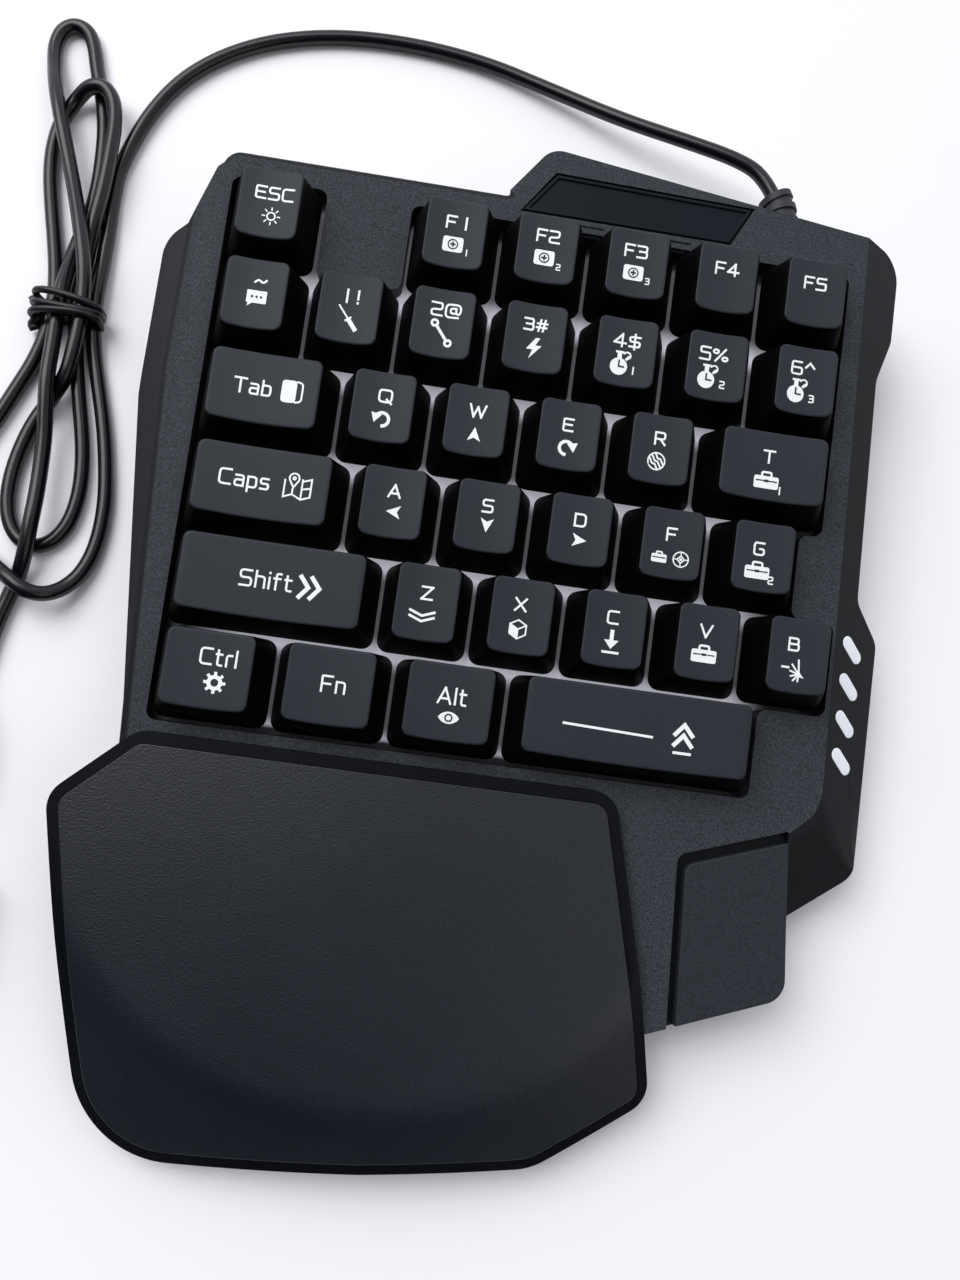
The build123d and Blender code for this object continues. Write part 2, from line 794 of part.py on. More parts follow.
cable_width = 3.4
cable_radius = cable_width / 2
cable_gap = 0.5
cable_step = cable_width + cable_gap
cable_arc_share = 0.45
gap_reach = 12
straight_angle = 0.01
lead_points = [
    (53.05, 119.3, 12), (49.95, 124.92, 12), (43.2, 128.6, 11.4), (32, 132.3, 9.6), (15, 137.8, 6.4),
    (-3, 145.2, 3.2), (-21, 150.8, 2), (-41, 152.6, 1.7), (-59.8, 150.8, 1.7), (-76.6, 145.2, 1.7),
    (-90, 135.4, 1.7), (-98.2, 123, 1.7), (-101.6, 109.5, 1.7), (-102, 96, 1.7),
]
boot_rib_radius = 4
boot_rib_width = 1.5
boot_rib_pitch = 3
boot_rib_count = 5
boot_straight = 8
flange_radius = 4.8
flange_thickness = 1.4
flange_setback = 0.65
boot_radius = cable_hole_radius - boot_gap


def tube(path, radius):
    with BuildPart() as body:
        with BuildSketch(Plane(origin=path @ 0, z_dir=path % 0)):
            Circle(radius)
        sweep(path=path)
    return body.part


def lead_path(points):
    corners = [Vector(*point) for point in points]
    radii = []
    for before, here, after in zip(corners, corners[1:], corners[2:]):
        run_in = here - before
        run_out = after - here
        shorter = min(run_in.length, run_out.length)
        radii.append(cable_arc_share * shorter / tan(radians(run_in.get_angle(run_out) / 2)))
    with BuildLine() as line:
        FilletPolyline(*corners, radius=radii)
    print("lead radii", [round(radius, 1) for radius in radii])
    return line.wire()


def least_gap(path):
    """The least space between two stretches of a tube, from points a millimetre apart along it."""
    count = round(path.length)
    spots = [tuple(path.position_at(step / count)) for step in range(count + 1)]
    pairs = [(a, b) for a in range(count) for b in range(a + gap_reach, count + 1)]
    return min(dist(spots[a], spots[b]) for a, b in pairs) - cable_width


def bend(start, heading, end):
    if heading.get_angle(end - start) < straight_angle:
        return Edge.make_line(start, end)
    return Edge.make_tangent_arc(start, heading, end)


def biarc_path(knots):
    """A wire of arcs in pairs, each pair tangent to the headings of the two knots it joins."""
    edges = []
    for (start, first), (end, last) in zip(knots, knots[1:]):
        span = end - start
        squared = 2 * first.dot(last) - 2
        double = -2 * span.dot(first + last)
        if squared:
            root = (double**2 - 4 * squared * span.dot(span)) ** 0.5
            reach = (-double - root) / (2 * squared)
        else:
            reach = -span.dot(span) / double
        near = start + first * reach
        far = end - last * reach
        edges.append(bend(start, first, (near + far) / 2))
        edges.append(bend((near + far) / 2, (far - near).normalized(), end))
    start, first = knots[0]
    end, last = knots[-1]
    lead_in = Edge.make_line(start - first * cable_width, start)
    lead_out = Edge.make_line(end, end + last * cable_width)
    return Wire([lead_in, *edges, lead_out])


def report_tube(name, path, part):
    share = part.volume / (pi * cable_radius**2 * path.length)
    print(name, "length", round(path.length, 1), "volume over section times length", round(share, 4))


# Strain relief: a flange inside the wall, a ribbed boot that bends to the cable, and the inner end
with BuildPart() as strain_relief:
    flange_front = cable_wall_y - wall - flange_setback
    with BuildLine() as boot_line:
        boot_start = Vector(cable_x, flange_front, cable_height)
        boot_run = Line(boot_start, (cable_x, cable_wall_y + boot_straight, cable_height))
        TangentArc(boot_run @ 1, lead_points[0], tangent=boot_run % 1)
    boot_path = boot_line.wire()
    add(tube(boot_path, boot_radius))
    for rib in range(boot_rib_count):
        along = 1 - (boot_rib_width / 2 + rib * boot_rib_pitch) / boot_path.length
        with BuildSketch(Plane(origin=boot_path @ along, z_dir=boot_path % along)):
            Circle(boot_rib_radius)
        extrude(amount=boot_rib_width / 2, both=True)
    with BuildSketch(Plane.XZ.offset(-flange_front)):
        with Locations((cable_x, cable_height)):
            Circle(flange_radius)
    extrude(amount=flange_thickness)
    with BuildSketch(Plane.XZ.offset(-flange_front)):
        with Locations((cable_x, cable_height)):
            Circle(cable_radius)
    extrude(amount=flange_front - socket_y - socket_width / 2 - seat_gap)
save(strain_relief.part, "strain_relief")

lead_wire = lead_path(lead_points)
cable_lead = tube(lead_wire, cable_radius)
report_tube("cable_lead", lead_wire, cable_lead)
save(cable_lead, "cable_lead")

# Hank: four half loops between five strands at the waist, each with its two sides and its far end
tie_thickness = 1
tie_lift = tie_thickness + cable_gap / 2
low = cable_radius
high = low + cable_step
down = Vector(0, -1, 0)
up = Vector(0, 1, 0)
waist_y = 68
waist_strands = [(-99.8, low), (-111, low), (-104.8, low), (-108.3, high), (-102.4, high)]
hank_loops = [
    ((-90, 27), (-105, 0.5), (-127, 24), low),
    ((-118.5, 106), (-112.5, 126.5), (-108, 113), low),
    ((-96, 30), (-104, 9), (-112.5, 27), low),
    ((-122.5, 131), (-118, 140), (-113, 128), high),
]
hank_end = Vector(-106.5, 25, high)

hank_start = lead_wire @ 1
hank_knots = [(hank_start + (lead_wire % 1) * cable_width, lead_wire % 1)]
for index, (strand_x, strand_z) in enumerate(waist_strands):
    along, across = [(down, Vector(-1, 0, 0)), (up, Vector(1, 0, 0))][index % 2]
    hank_knots.append((Vector(strand_x, waist_y, strand_z + tie_lift), along))
    if index < len(hank_loops):
        first_side, far_end, second_side, loop_z = hank_loops[index]
        hank_knots.append((Vector(*first_side, loop_z), along))
        hank_knots.append((Vector(*far_end, loop_z), across))
        hank_knots.append((Vector(*second_side, loop_z), along * -1))
hank_knots.append((hank_end - down * cable_width, down))
hank_wire = biarc_path(hank_knots)
cable_hank = tube(hank_wire, cable_radius)
report_tube("cable_hank", hank_wire, cable_hank)
print("cable_hank least gap to itself", round(least_gap(hank_wire), 2))
save(cable_hank, "cable_hank")

# Tie: two turns of a flat band round the five strands, joined under its twist
tie_gap = 0.3
tie_width = 2.4
tie_pitch = 3.6
tie_corner = 1.5
tie_knot_radius = 1.9
tie_knot_height = 1.6
tie_left = min(x for x, z in waist_strands) - cable_radius - tie_gap
tie_right = max(x for x, z in waist_strands) + cable_radius + tie_gap
tie_upper_left = waist_strands[3][0] - cable_radius - tie_gap
tie_upper_right = waist_strands[4][0] + cable_radius + tie_gap
tie_top = high + tie_lift + cable_radius + tie_gap

with BuildSketch(Plane.XZ) as tie_ring:
    with BuildLine():
        Polyline(
            (tie_left, tie_thickness), (tie_right, tie_thickness), (tie_right, high),
            (tie_upper_right, tie_top), (tie_upper_left, tie_top), (tie_left, high), close=True,
        )
    make_face()
    tie_hole = tie_ring.sketch_local
    offset(amount=tie_thickness, kind=Kind.INTERSECTION)
    fillet(tie_ring.vertices(), tie_corner)
    add(tie_hole, mode=Mode.SUBTRACT)
with BuildPart() as cable_tie:
    for step in (-0.5, 0.5):
        with BuildSketch(Plane.XZ.offset(-waist_y - step * tie_pitch)):
            add(tie_ring.sketch_local)
        extrude(amount=tie_width / 2, both=True)
    with BuildSketch(Plane.XY.offset(tie_top)):
        with Locations(((tie_upper_left + tie_upper_right) / 2, waist_y)):
            SlotOverall(tie_pitch + tie_width, 2 * tie_knot_radius, rotation=90)
    extrude(amount=tie_knot_height)
save(cable_tie.part, "cable_tie")

# Coil: two layers of a flat spiral, in and out again, past the left edge of the desk's shown part
coil_x = -132
coil_y = -34
coil_radius = 22.6
coil_half_turns = 4
crossing = Vector(-107.3, -4, high)
landing = Vector(-107.6, -21, low)
plug_tail_y = -51.4
plug_height = 4.2

coil_start = Vector(coil_x + coil_radius, coil_y, low)
coil_knots = [
    (hank_end + down * cable_width, down), (crossing, down), (landing, down), (coil_start, down),
]
for half in range(1, 2 * coil_half_turns + 3):
    depth = half if half <= coil_half_turns + 1 else 2 * coil_half_turns + 1 - half
    turn_radius = coil_radius - cable_step / 2 * depth
    side = (-1) ** half
    layer_z = low if half <= coil_half_turns else high
    coil_knots.append((Vector(coil_x + side * turn_radius, coil_y, layer_z), down * side))
plug_x = coil_knots[-1][0].X
coil_knots.append((Vector(plug_x, plug_tail_y + cable_width, plug_height), down))
coil_wire = biarc_path(coil_knots)
cable_coil = tube(coil_wire, cable_radius)
report_tube("cable_coil", coil_wire, cable_coil)
print("cable_coil least gap to itself", round(least_gap(coil_wire), 2))
print("cable length", round(lead_wire.length + hank_wire.length + coil_wire.length))
save(cable_coil, "cable_coil")

# Plug: a moulded body with a ribbed tail and the tongue of its contacts, inside a folded metal shell
plug_width = 15.5
plug_thickness = 8
plug_length = 24
plug_corner = 2
plug_tail_length = 9
plug_tail_base = 3.6
plug_tail_ribs = 3
plug_tail_groove = 1
plug_shell_width = 12
plug_shell_thickness = 4.5
plug_shell_wall = 0.3
plug_shell_length = 18.7
plug_shell_seat = 5
plug_shell_corner = 0.6
tongue_thickness = 1.8
tongue_gap = 0.2
tongue_setback = 1.5

plug_body_y = plug_tail_y - plug_tail_length
plug_front_y = plug_body_y - plug_length
plug_back_plane = Plane.XZ.offset(-plug_body_y)
shell_back_y = plug_front_y + plug_shell_seat
shell_plane = Plane.XZ.offset(-shell_back_y)
shell_seat_width = plug_shell_width + 2 * seat_gap
shell_seat_thickness = plug_shell_thickness + 2 * seat_gap
shell_bore_width = plug_shell_width - 2 * plug_shell_wall
shell_bore_thickness = plug_shell_thickness - 2 * plug_shell_wall
tongue_top = plug_height + shell_bore_thickness / 2 - tongue_gap

with BuildPart() as usb_plug_body:
    with BuildSketch(plug_back_plane):
        with Locations((plug_x, plug_height)):
            RectangleRounded(plug_width, plug_thickness, plug_corner)
    extrude(amount=plug_length)
    with BuildSketch(shell_plane):
        with Locations((plug_x, plug_height)):
            RectangleRounded(shell_seat_width, shell_seat_thickness, plug_shell_corner)
    extrude(amount=plug_shell_seat, mode=Mode.SUBTRACT)
    with BuildSketch(shell_plane):
        with Locations((plug_x, tongue_top - tongue_thickness / 2)):
            Rectangle(plug_shell_width - 2 * (plug_shell_wall + tongue_gap), tongue_thickness)
    extrude(amount=plug_shell_length - tongue_setback)
    with BuildSketch(plug_back_plane):
        with Locations((plug_x, plug_height)):
            Circle(plug_tail_base)
    with BuildSketch(Plane.XZ.offset(-plug_tail_y)):
        with Locations((plug_x, plug_height)):
            Circle(cable_radius + cable_gap)
    loft(ruled=True)
    for rib in range(plug_tail_ribs):
        groove_y = plug_body_y + (rib + 1) * plug_tail_length / (plug_tail_ribs + 1)
        with BuildSketch(Plane.XZ.offset(-groove_y)):
            with Locations((plug_x, plug_height)):
                Circle(plug_tail_base)
                Circle(cable_radius + cable_gap / 2, mode=Mode.SUBTRACT)
        extrude(amount=plug_tail_groove / 2, both=True, mode=Mode.SUBTRACT)
save(usb_plug_body.part, "usb_plug_body")

with BuildPart() as usb_plug_shell:
    with BuildSketch(shell_plane):
        with Locations((plug_x, plug_height)):
            RectangleRounded(plug_shell_width, plug_shell_thickness, plug_shell_corner)
            Rectangle(shell_bore_width, shell_bore_thickness, mode=Mode.SUBTRACT)
    extrude(amount=plug_shell_length)
save(usb_plug_shell.part, "usb_plug_shell")
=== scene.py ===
import json
import math

import bmesh
import bpy
import numpy as np
from mathutils import Matrix, Vector

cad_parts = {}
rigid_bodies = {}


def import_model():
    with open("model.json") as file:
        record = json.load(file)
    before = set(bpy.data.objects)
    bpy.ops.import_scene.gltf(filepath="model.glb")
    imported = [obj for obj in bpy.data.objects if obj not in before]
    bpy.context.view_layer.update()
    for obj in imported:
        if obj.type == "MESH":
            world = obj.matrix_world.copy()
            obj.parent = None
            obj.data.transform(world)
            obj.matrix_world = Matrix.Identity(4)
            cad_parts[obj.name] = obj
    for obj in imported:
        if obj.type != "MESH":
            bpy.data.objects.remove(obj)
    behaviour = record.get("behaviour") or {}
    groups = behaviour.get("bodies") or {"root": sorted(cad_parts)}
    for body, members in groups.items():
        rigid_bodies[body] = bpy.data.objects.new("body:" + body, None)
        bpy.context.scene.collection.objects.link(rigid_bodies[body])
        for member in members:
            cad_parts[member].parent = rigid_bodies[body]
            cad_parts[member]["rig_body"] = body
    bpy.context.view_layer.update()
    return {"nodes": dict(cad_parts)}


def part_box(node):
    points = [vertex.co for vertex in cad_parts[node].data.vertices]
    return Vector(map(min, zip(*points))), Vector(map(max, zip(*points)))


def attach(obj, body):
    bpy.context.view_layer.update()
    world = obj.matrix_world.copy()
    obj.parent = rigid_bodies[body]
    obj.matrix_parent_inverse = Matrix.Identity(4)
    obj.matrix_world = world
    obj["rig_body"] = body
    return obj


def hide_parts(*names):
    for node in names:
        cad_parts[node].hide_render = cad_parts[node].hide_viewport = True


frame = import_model()
nodes = frame["nodes"]
mm = 0.001
scene = bpy.context.scene

# The deck rises to the back by 5 degrees: the way out of it and the way up it
deckNormal = (0.0, -0.0872, 0.9962)
upTheDeck = (0.0, 0.9962, 0.0872)


def addObject(name, data):
    piece = bpy.data.objects.new(name, data)
    scene.collection.objects.link(piece)
    return piece


# The camera looks down on the desk as the photograph does, with a lens and sensor meant for a frame of 960 by
# 1280
camera = {
    "place": (-0.0143118, -0.0302187, 0.2141187),
    "forward": (0.05467692, 0.16418917, -0.98491236),
    "up": (-0.1395241, 0.97796696, 0.15528573),
    "sensor": 36, "lens": 26.71875, "clip": (0.01, 20),
}
forward = np.array(camera["forward"])
cameraAxes = np.stack([np.cross(forward, camera["up"]), np.array(camera["up"]), -forward], axis=1)
cameraData = bpy.data.cameras.new("deskCamera")
cameraData.sensor_width = camera["sensor"]
cameraData.lens = camera["lens"]
cameraData.clip_start, cameraData.clip_end = camera["clip"]
cameraObject = addObject("deskCamera", cameraData)
cameraObject.matrix_world = Matrix.Translation(camera["place"]) @ Matrix(cameraAxes.tolist()).to_4x4()
scene.camera = cameraObject
scene.view_settings.view_transform = "Standard"
print("camera set")

lights = {
    "world": (0.94, 0.955, 1.0), "worldRange": (-0.5, 0.6), "worldStrength": (0.04, 1.08),
    "backdrop": (0.88, 0.91, 0.96),
    "boxes": [
        {"place": (-0.62, 0.5, 1.0), "power": 11.3, "size": 0.9},
        {"place": (0.7, -0.5, 0.9), "power": 1.7, "size": 0.8},
    ],
}


def feed(tree, node, inputs):
    # Each input gets a fixed value, or a link from the output that drives it
    for label, value in inputs.items():
        if isinstance(value, bpy.types.NodeSocket):
            tree.links.new(value, node.inputs[label])
        else:
            node.inputs[label].default_value = value


def addNode(tree, kind, inputs, **settings):
    node = tree.nodes.new("ShaderNode" + kind)
    for name, value in settings.items():
        setattr(node, name, value)
    feed(tree, node, inputs)
    return node


def mathOf(tree, operation, first, second):
    return addNode(tree, "Math", {0: first, 1: second}, operation=operation).outputs["Value"]


def alongOf(tree, vector, direction):
    # How far a place or a normal reaches along a direction
    return addNode(tree, "VectorMath", {0: vector, 1: direction}, operation="DOT_PRODUCT").outputs["Value"]


def rangeOf(tree, value, start, end, low=0.0, high=1.0, curve="LINEAR"):
    inputs = {"Value": value, "From Min": start, "From Max": end, "To Min": low, "To Max": high}
    return addNode(tree, "MapRange", inputs, interpolation_type=curve).outputs["Result"]


def blendOf(tree, share, first, second):
    # The colour sockets of a Mix node are its inputs 6 and 7 and its output 2
    return addNode(tree, "Mix", {"Factor": share, 6: first, 7: second}, data_type="RGBA").outputs[2]


def lightTheRoom(look):
    # The room is brightest behind the desk and dims towards the user's side; the camera sees a plain backdrop
    world = bpy.data.worlds.new("room")
    scene.world = world
    world.use_nodes = True
    tree = world.node_tree
    tree.nodes.clear()
    place = addNode(tree, "TexCoord", {}).outputs["Generated"]
    back = addNode(tree, "SeparateXYZ", {"Vector": place}).outputs["Y"]
    strength = rangeOf(tree, back, *look["worldRange"], *look["worldStrength"])
    fill = addNode(tree, "Background", {"Color": (*look["world"], 1), "Strength": strength})
    seen = addNode(tree, "Background", {"Color": (*look["backdrop"], 1)})
    fromCamera = addNode(tree, "LightPath", {}).outputs["Is Camera Ray"]
    mix = addNode(tree, "MixShader", {"Fac": fromCamera, 1: fill.outputs[0], 2: seen.outputs[0]})
    addNode(tree, "OutputWorld", {"Surface": mix.outputs["Shader"]})
    for box in look["boxes"]:
        data = bpy.data.lights.new("softbox", "AREA")
        data.energy = box["power"]
        data.size = box["size"]
        lamp = addObject("softbox", data)
        lamp.location = box["place"]
        lamp.rotation_mode = "QUATERNION"
        lamp.rotation_quaternion = (-Vector(box["place"])).to_track_quat("-Z", "Y")


lightTheRoom(lights)
print("room lit")


# Finishes: every moulded surface shares one node group, which puts out only a colour, a height and a mask

grainForm = {
    "fineDetail": 2, "fineRange": (0.32, 0.68), "coarseScale": 38, "coarseDetail": 3,
    "coarseRange": (0.3, 0.7), "swing": (-0.5, 0.5), "bumpDistance": 0.0002,
}


def makeMouldedGrain(form):
    # Colour times 1 + fine noise * speckle + coarse noise * mottle: the skin that a sand-blasted mould leaves
    group = bpy.data.node_groups.new("mouldedGrain", "ShaderNodeTree")
    sockets = {"INPUT": ("Colour", "Grains", "Speckle", "Mottle"), "OUTPUT": ("Colour", "Height", "Mask")}
    for way, labels in sockets.items():
        for label in labels:
            kind = "NodeSocketColor" if label == "Colour" else "NodeSocketFloat"
            group.interface.new_socket(label, in_out=way, socket_type=kind)
    start = group.nodes.new("NodeGroupInput").outputs
    end = group.nodes.new("NodeGroupOutput")
    place = addNode(group, "TexCoord", {}).outputs["Object"]
    noises, gain = [], 1.0
    for scale, detail, spread, share in (
        (start["Grains"], form["fineDetail"], form["fineRange"], start["Speckle"]),
        (form["coarseScale"], form["coarseDetail"], form["coarseRange"], start["Mottle"]),
    ):
        noise = addNode(group, "TexNoise", {"Vector": place, "Scale": scale, "Detail": detail}).outputs["Fac"]
        change = mathOf(group, "MULTIPLY", rangeOf(group, noise, *spread, *form["swing"]), share)
        gain = mathOf(group, "ADD", gain, change)
        noises.append(noise)
    tint = addNode(group, "VectorMath", {0: start["Colour"], "Scale": gain}, operation="SCALE")
    feed(group, end, {"Colour": tint.outputs["Vector"], "Height": noises[0], "Mask": noises[1]})
    return group


mouldedGrain = makeMouldedGrain(grainForm)


def newMaterial(name):
    material = bpy.data.materials.new(name)
    material.use_nodes = True
    return material, material.node_tree, material.node_tree.nodes["Principled BSDF"]


def addGrain(tree, look):
    values = {"Colour": (*look["colour"], 1)} | dict(zip(("Grains", "Speckle", "Mottle"), look["grain"]))
    return addNode(tree, "Group", values, node_tree=mouldedGrain)


def grainNormal(tree, height, strength):
    values = {"Height": height, "Strength": strength, "Distance": grainForm["bumpDistance"]}
    return addNode(tree, "Bump", values).outputs["Normal"]


def makeMaterial(name, look):
    # One moulded finish: speckled colour, uneven gloss and a grain bump
    material, tree, shader = newMaterial(name)
    grain = addGrain(tree, look)
    feed(tree, shader, {
        "Base Color": grain.outputs["Colour"],
        "Roughness": rangeOf(tree, grain.outputs["Mask"], 0, 1, *look["rough"]),
        "Normal": grainNormal(tree, grain.outputs["Height"], look["bump"]),
        "Specular IOR Level": look.get("specular", 0.5),
        "Metallic": look.get("metal", 0.0),
    })
    if "glow" in look:
        feed(tree, shader, {"Emission Color": (*look["glow"], 1), "Emission Strength": look["glowStrength"]})
    return material


# A finish's grain is its grains to the metre, and how much the fine and the coarse noise change its colour
finishParts = ("colour", "grain", "rough", "bump", "specular", "metal", "glow", "glowStrength")
finishRows = {
    "keyTop": ((0.015, 0.0192, 0.0262), (2600, 0.25, 0.12), (0.5, 0.62), 0.12, 0.3),
    # A cap's sides are the same plastic as its top; their near-black colour is partly a smoother gloss and
    # partly painted shade
    "keySide": ((0.0014, 0.0015, 0.0018), (2600, 0.1, 0.1), (0.45, 0.55), 0.03, 0.05),
    "keyMark": ((0.9, 0.92, 0.95), (2000, 0.04, 0.03), (0.5, 0.6), 0.02),
    "deck": ((0.037, 0.041, 0.0495), (2600, 0.95, 0.1), (0.55, 0.68), 0.5, 0.35),
    # The wing's near-black colour is partly its smooth finish and partly painted shade on the sloping sides
    "wing": ((0.006, 0.007, 0.0085), (2600, 0.12, 0.12), (0.5, 0.6), 0.05, 0.06),
    "base": ((0.011, 0.012, 0.014), (1500, 0.3, 0.2), (0.5, 0.62), 0.2, 0.35),
    "rest": ((0.002, 0.003, 0.0045), (2600, 0.2, 0.15), (0.34, 0.44), 0.05, 0.12),
    "pad": ((0.0028, 0.0052, 0.0108), (2500, 1.0, 0.14), (0.34, 0.42), 0.35, 0.6),
    "thumb": ((0.017, 0.02, 0.027), (1900, 0.7, 0.12), (0.55, 0.66), 0.4, 0.3),
    "badge": ((0.0045, 0.0065, 0.011), (2600, 0.1, 0.2), (0.35, 0.43), 0.02, 0.12),
    "cable": ((0.0022, 0.0028, 0.0045), (1500, 0.2, 0.3), (0.2, 0.29), 0.06, 0.4),
    "boot": ((0.018, 0.02, 0.025), (1500, 0.25, 0.3), (0.48, 0.6), 0.1, 0.4),
    "wire": ((0.004, 0.005, 0.007), (1500, 0.2, 0.3), (0.3, 0.42), 0.05, 0.35),
    "plate": ((0.72, 0.71, 0.8), (700, 0.06, 0.1), (0.35, 0.45), 0.03, 0.5, 0.0, (0.82, 0.82, 0.92), 0.38),
    "lightBar": ((0.78, 0.8, 0.86), (900, 0.04, 0.05), (0.3, 0.4), 0.02, 0.5, 0.0, (0.9, 0.93, 1.0), 0.12),
    "rubber": ((0.012, 0.012, 0.013), (1300, 0.3, 0.2), (0.7, 0.8), 0.25, 0.25),
    "silicone": ((0.55, 0.57, 0.6), (900, 0.05, 0.1), (0.4, 0.5), 0.05),
    "film": ((0.5, 0.56, 0.52), (600, 0.05, 0.2), (0.25, 0.35), 0.02),
    "board": ((0.02, 0.1, 0.05), (800, 0.2, 0.2), (0.35, 0.45), 0.05),
    "chip": ((0.75, 0.74, 0.6), (900, 0.05, 0.05), (0.3, 0.4), 0.02),
    "steel": ((0.45, 0.45, 0.46), (1800, 0.12, 0.15), (0.25, 0.38), 0.05, 0.5, 1.0),
}
finishes = {name: dict(zip(finishParts, row)) for name, row in finishRows.items()}
materials = {name: makeMaterial(name, look) for name, look in finishes.items()}

# The deck's grain comes in between two cosines of the lean from the deck, and two heights along its normal;
# below those heights, in grooves, the dark wing colour is painted shade
deckAndShadeMasks = {"lean": (0.93, 0.985), "rise": (0.0190, 0.0194), "specular": 0.16}


def makeDeckMaterialWithPaintedShade(wing, deck, masks):
    # The grain of the deck gives way to the wings' dark colour where the surface leans away, partly their
    # smooth finish and partly painted shade, and where it lies in a groove, as painted shade
    material, tree, shader = newMaterial("deckAndWings")
    place = addNode(tree, "TexCoord", {}).outputs
    flat = rangeOf(tree, alongOf(tree, place["Normal"], deckNormal), *masks["lean"])
    # Painted shade: surfaces sunk below the deck's top, such as grooves and recesses, take the dark wing
    # colour
    high = rangeOf(tree, alongOf(tree, place["Object"], deckNormal), *masks["rise"])
    grainShareBesidePaintedShade = mathOf(tree, "MULTIPLY", flat, high)
    wingColourAndPaintedShade, grainSide = addGrain(tree, wing).outputs, addGrain(tree, deck).outputs
    height = mathOf(tree, "MULTIPLY", grainSide["Height"], grainShareBesidePaintedShade)
    feed(tree, shader, {
        "Base Color": blendOf(tree, grainShareBesidePaintedShade, wingColourAndPaintedShade["Colour"], grainSide["Colour"]),
        "Roughness": rangeOf(tree, grainShareBesidePaintedShade, 0, 1, wing["rough"][0], deck["rough"][1]),
        "Normal": grainNormal(tree, height, deck["bump"]),
        "Specular IOR Level": masks["specular"],
    })
    return material


materials["deckAndWings"] = makeDeckMaterialWithPaintedShade(finishes["wing"], finishes["deck"], deckAndShadeMasks)

# Each fade: a direction, where the plate is dark along it, and where it is fully lit. The light shows most in
# spots of this half width at the lines between the rows, and by the share "between" elsewhere
plateLight = {
    "fades": [
        ((1, 0, 0), -66, -50), ((1, 0, 0), 60, 49), (upTheDeck, 92, 88.5), (upTheDeck, -20.2, -19),
    ],
    "unlit": (0.02, 0.02, 0.024),
    "firstRow": 93.5, "rowPitch": 19.05, "spot": 4.5, "between": 0.17,
}


def makePlateMaterial(look, light):
    # The light's share: 1 at the lines between the rows of keys, less between them, and none at the well's rim
    material = makeMaterial("litPlate", look)
    tree = material.node_tree
    place = addNode(tree, "TexCoord", {}).outputs["Object"]
    fromRow = mathOf(tree, "SUBTRACT", alongOf(tree, place, upTheDeck), light["firstRow"] * mm)
    nearRow = mathOf(tree, "PINGPONG", fromRow, light["rowPitch"] / 2 * mm)
    share = rangeOf(tree, nearRow, light["spot"] * mm, 0.0, light["between"], 1.0, "SMOOTHERSTEP")
    for direction, dark, lit in light["fades"]:
        fade = rangeOf(tree, alongOf(tree, place, direction), dark * mm, lit * mm, curve="SMOOTHSTEP")
        share = mathOf(tree, "MULTIPLY", share, fade)
    grain = next(node for node in tree.nodes if node.type == "GROUP")
    # Painted shade: the white plate's colour turns to the unlit colour where the share is low, under the keys
    # and at the well's rim; the glow, which stands for the backlight, follows the same share
    feed(tree, tree.nodes["Principled BSDF"], {
        "Base Color": blendOf(tree, share, (*light["unlit"], 1), grain.outputs["Colour"]),
        "Emission Color": blendOf(tree, share, (0, 0, 0, 1), (*look["glow"], 1)),
    })
    return material


materials["litPlate"] = makePlateMaterial(finishes["plate"], plateLight)
print("finishes made")

desk = {"colour": (0.94, 0.94, 0.965), "half": 1.6, "rough": 0.9, "specular": 0.1}


def addFloor(form):
    half = form["half"]
    corners = [(-half, -half, 0), (half, -half, 0), (half, half, 0), (-half, half, 0)]
    mesh = bpy.data.meshes.new("deskTop")
    mesh.from_pydata(corners, [], [(0, 1, 2, 3)])
    floor = addObject("deskTop", mesh)
    material, tree, shader = newMaterial("deskWhite")
    feed(tree, shader, {"Base Color": (*form["colour"], 1), "Roughness": form["rough"]})
    feed(tree, shader, {"Specular IOR Level": form["specular"]})
    mesh.materials.append(material)


addFloor(desk)


# Meshes

def addMesh(name, points, faces, body, finish):
    mesh = bpy.data.meshes.new(name)
    mesh.from_pydata(points.tolist(), [], faces)
    work = bmesh.new()
    work.from_mesh(mesh)
    bmesh.ops.recalc_face_normals(work, faces=work.faces)
    work.to_mesh(mesh)
    work.free()
    mesh.materials.append(materials[finish])
    piece = addObject(name, mesh)
    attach(piece, body)
    return piece


def ringFaces(rings, count):
    # Quads between neighbouring rings of a stack, numbered ring by ring, and a face over either end
    r = np.arange(rings - 1)[:, None]
    c = np.arange(count)[None, :]
    n = (c + 1) % count
    quads = np.stack([r * count + c, r * count + n, (r + 1) * count + n, (r + 1) * count + c], axis=-1)
    first, last = list(range(count)), list(range((rings - 1) * count, rings * count))
    return quads.reshape(-1, 4).tolist() + [first[::-1], last]


def joinParts(parts):
    points, faces, start = [], [], 0
    for partPoints, partFaces in parts:
        points.append(partPoints)
        faces += [[i + start for i in face] for face in partFaces]
        start += len(partPoints)
    return np.vstack(points), faces


def smooth(piece, degrees):
    piece.data.shade_smooth()
    piece.data.set_sharp_from_angle(angle=math.radians(degrees))


# A CAD mesh is merged within "weld" metres, and facets within "flat" degrees of each other become one
dressing = {"weld": 0.000002, "flat": 0.4, "sharp": 28}


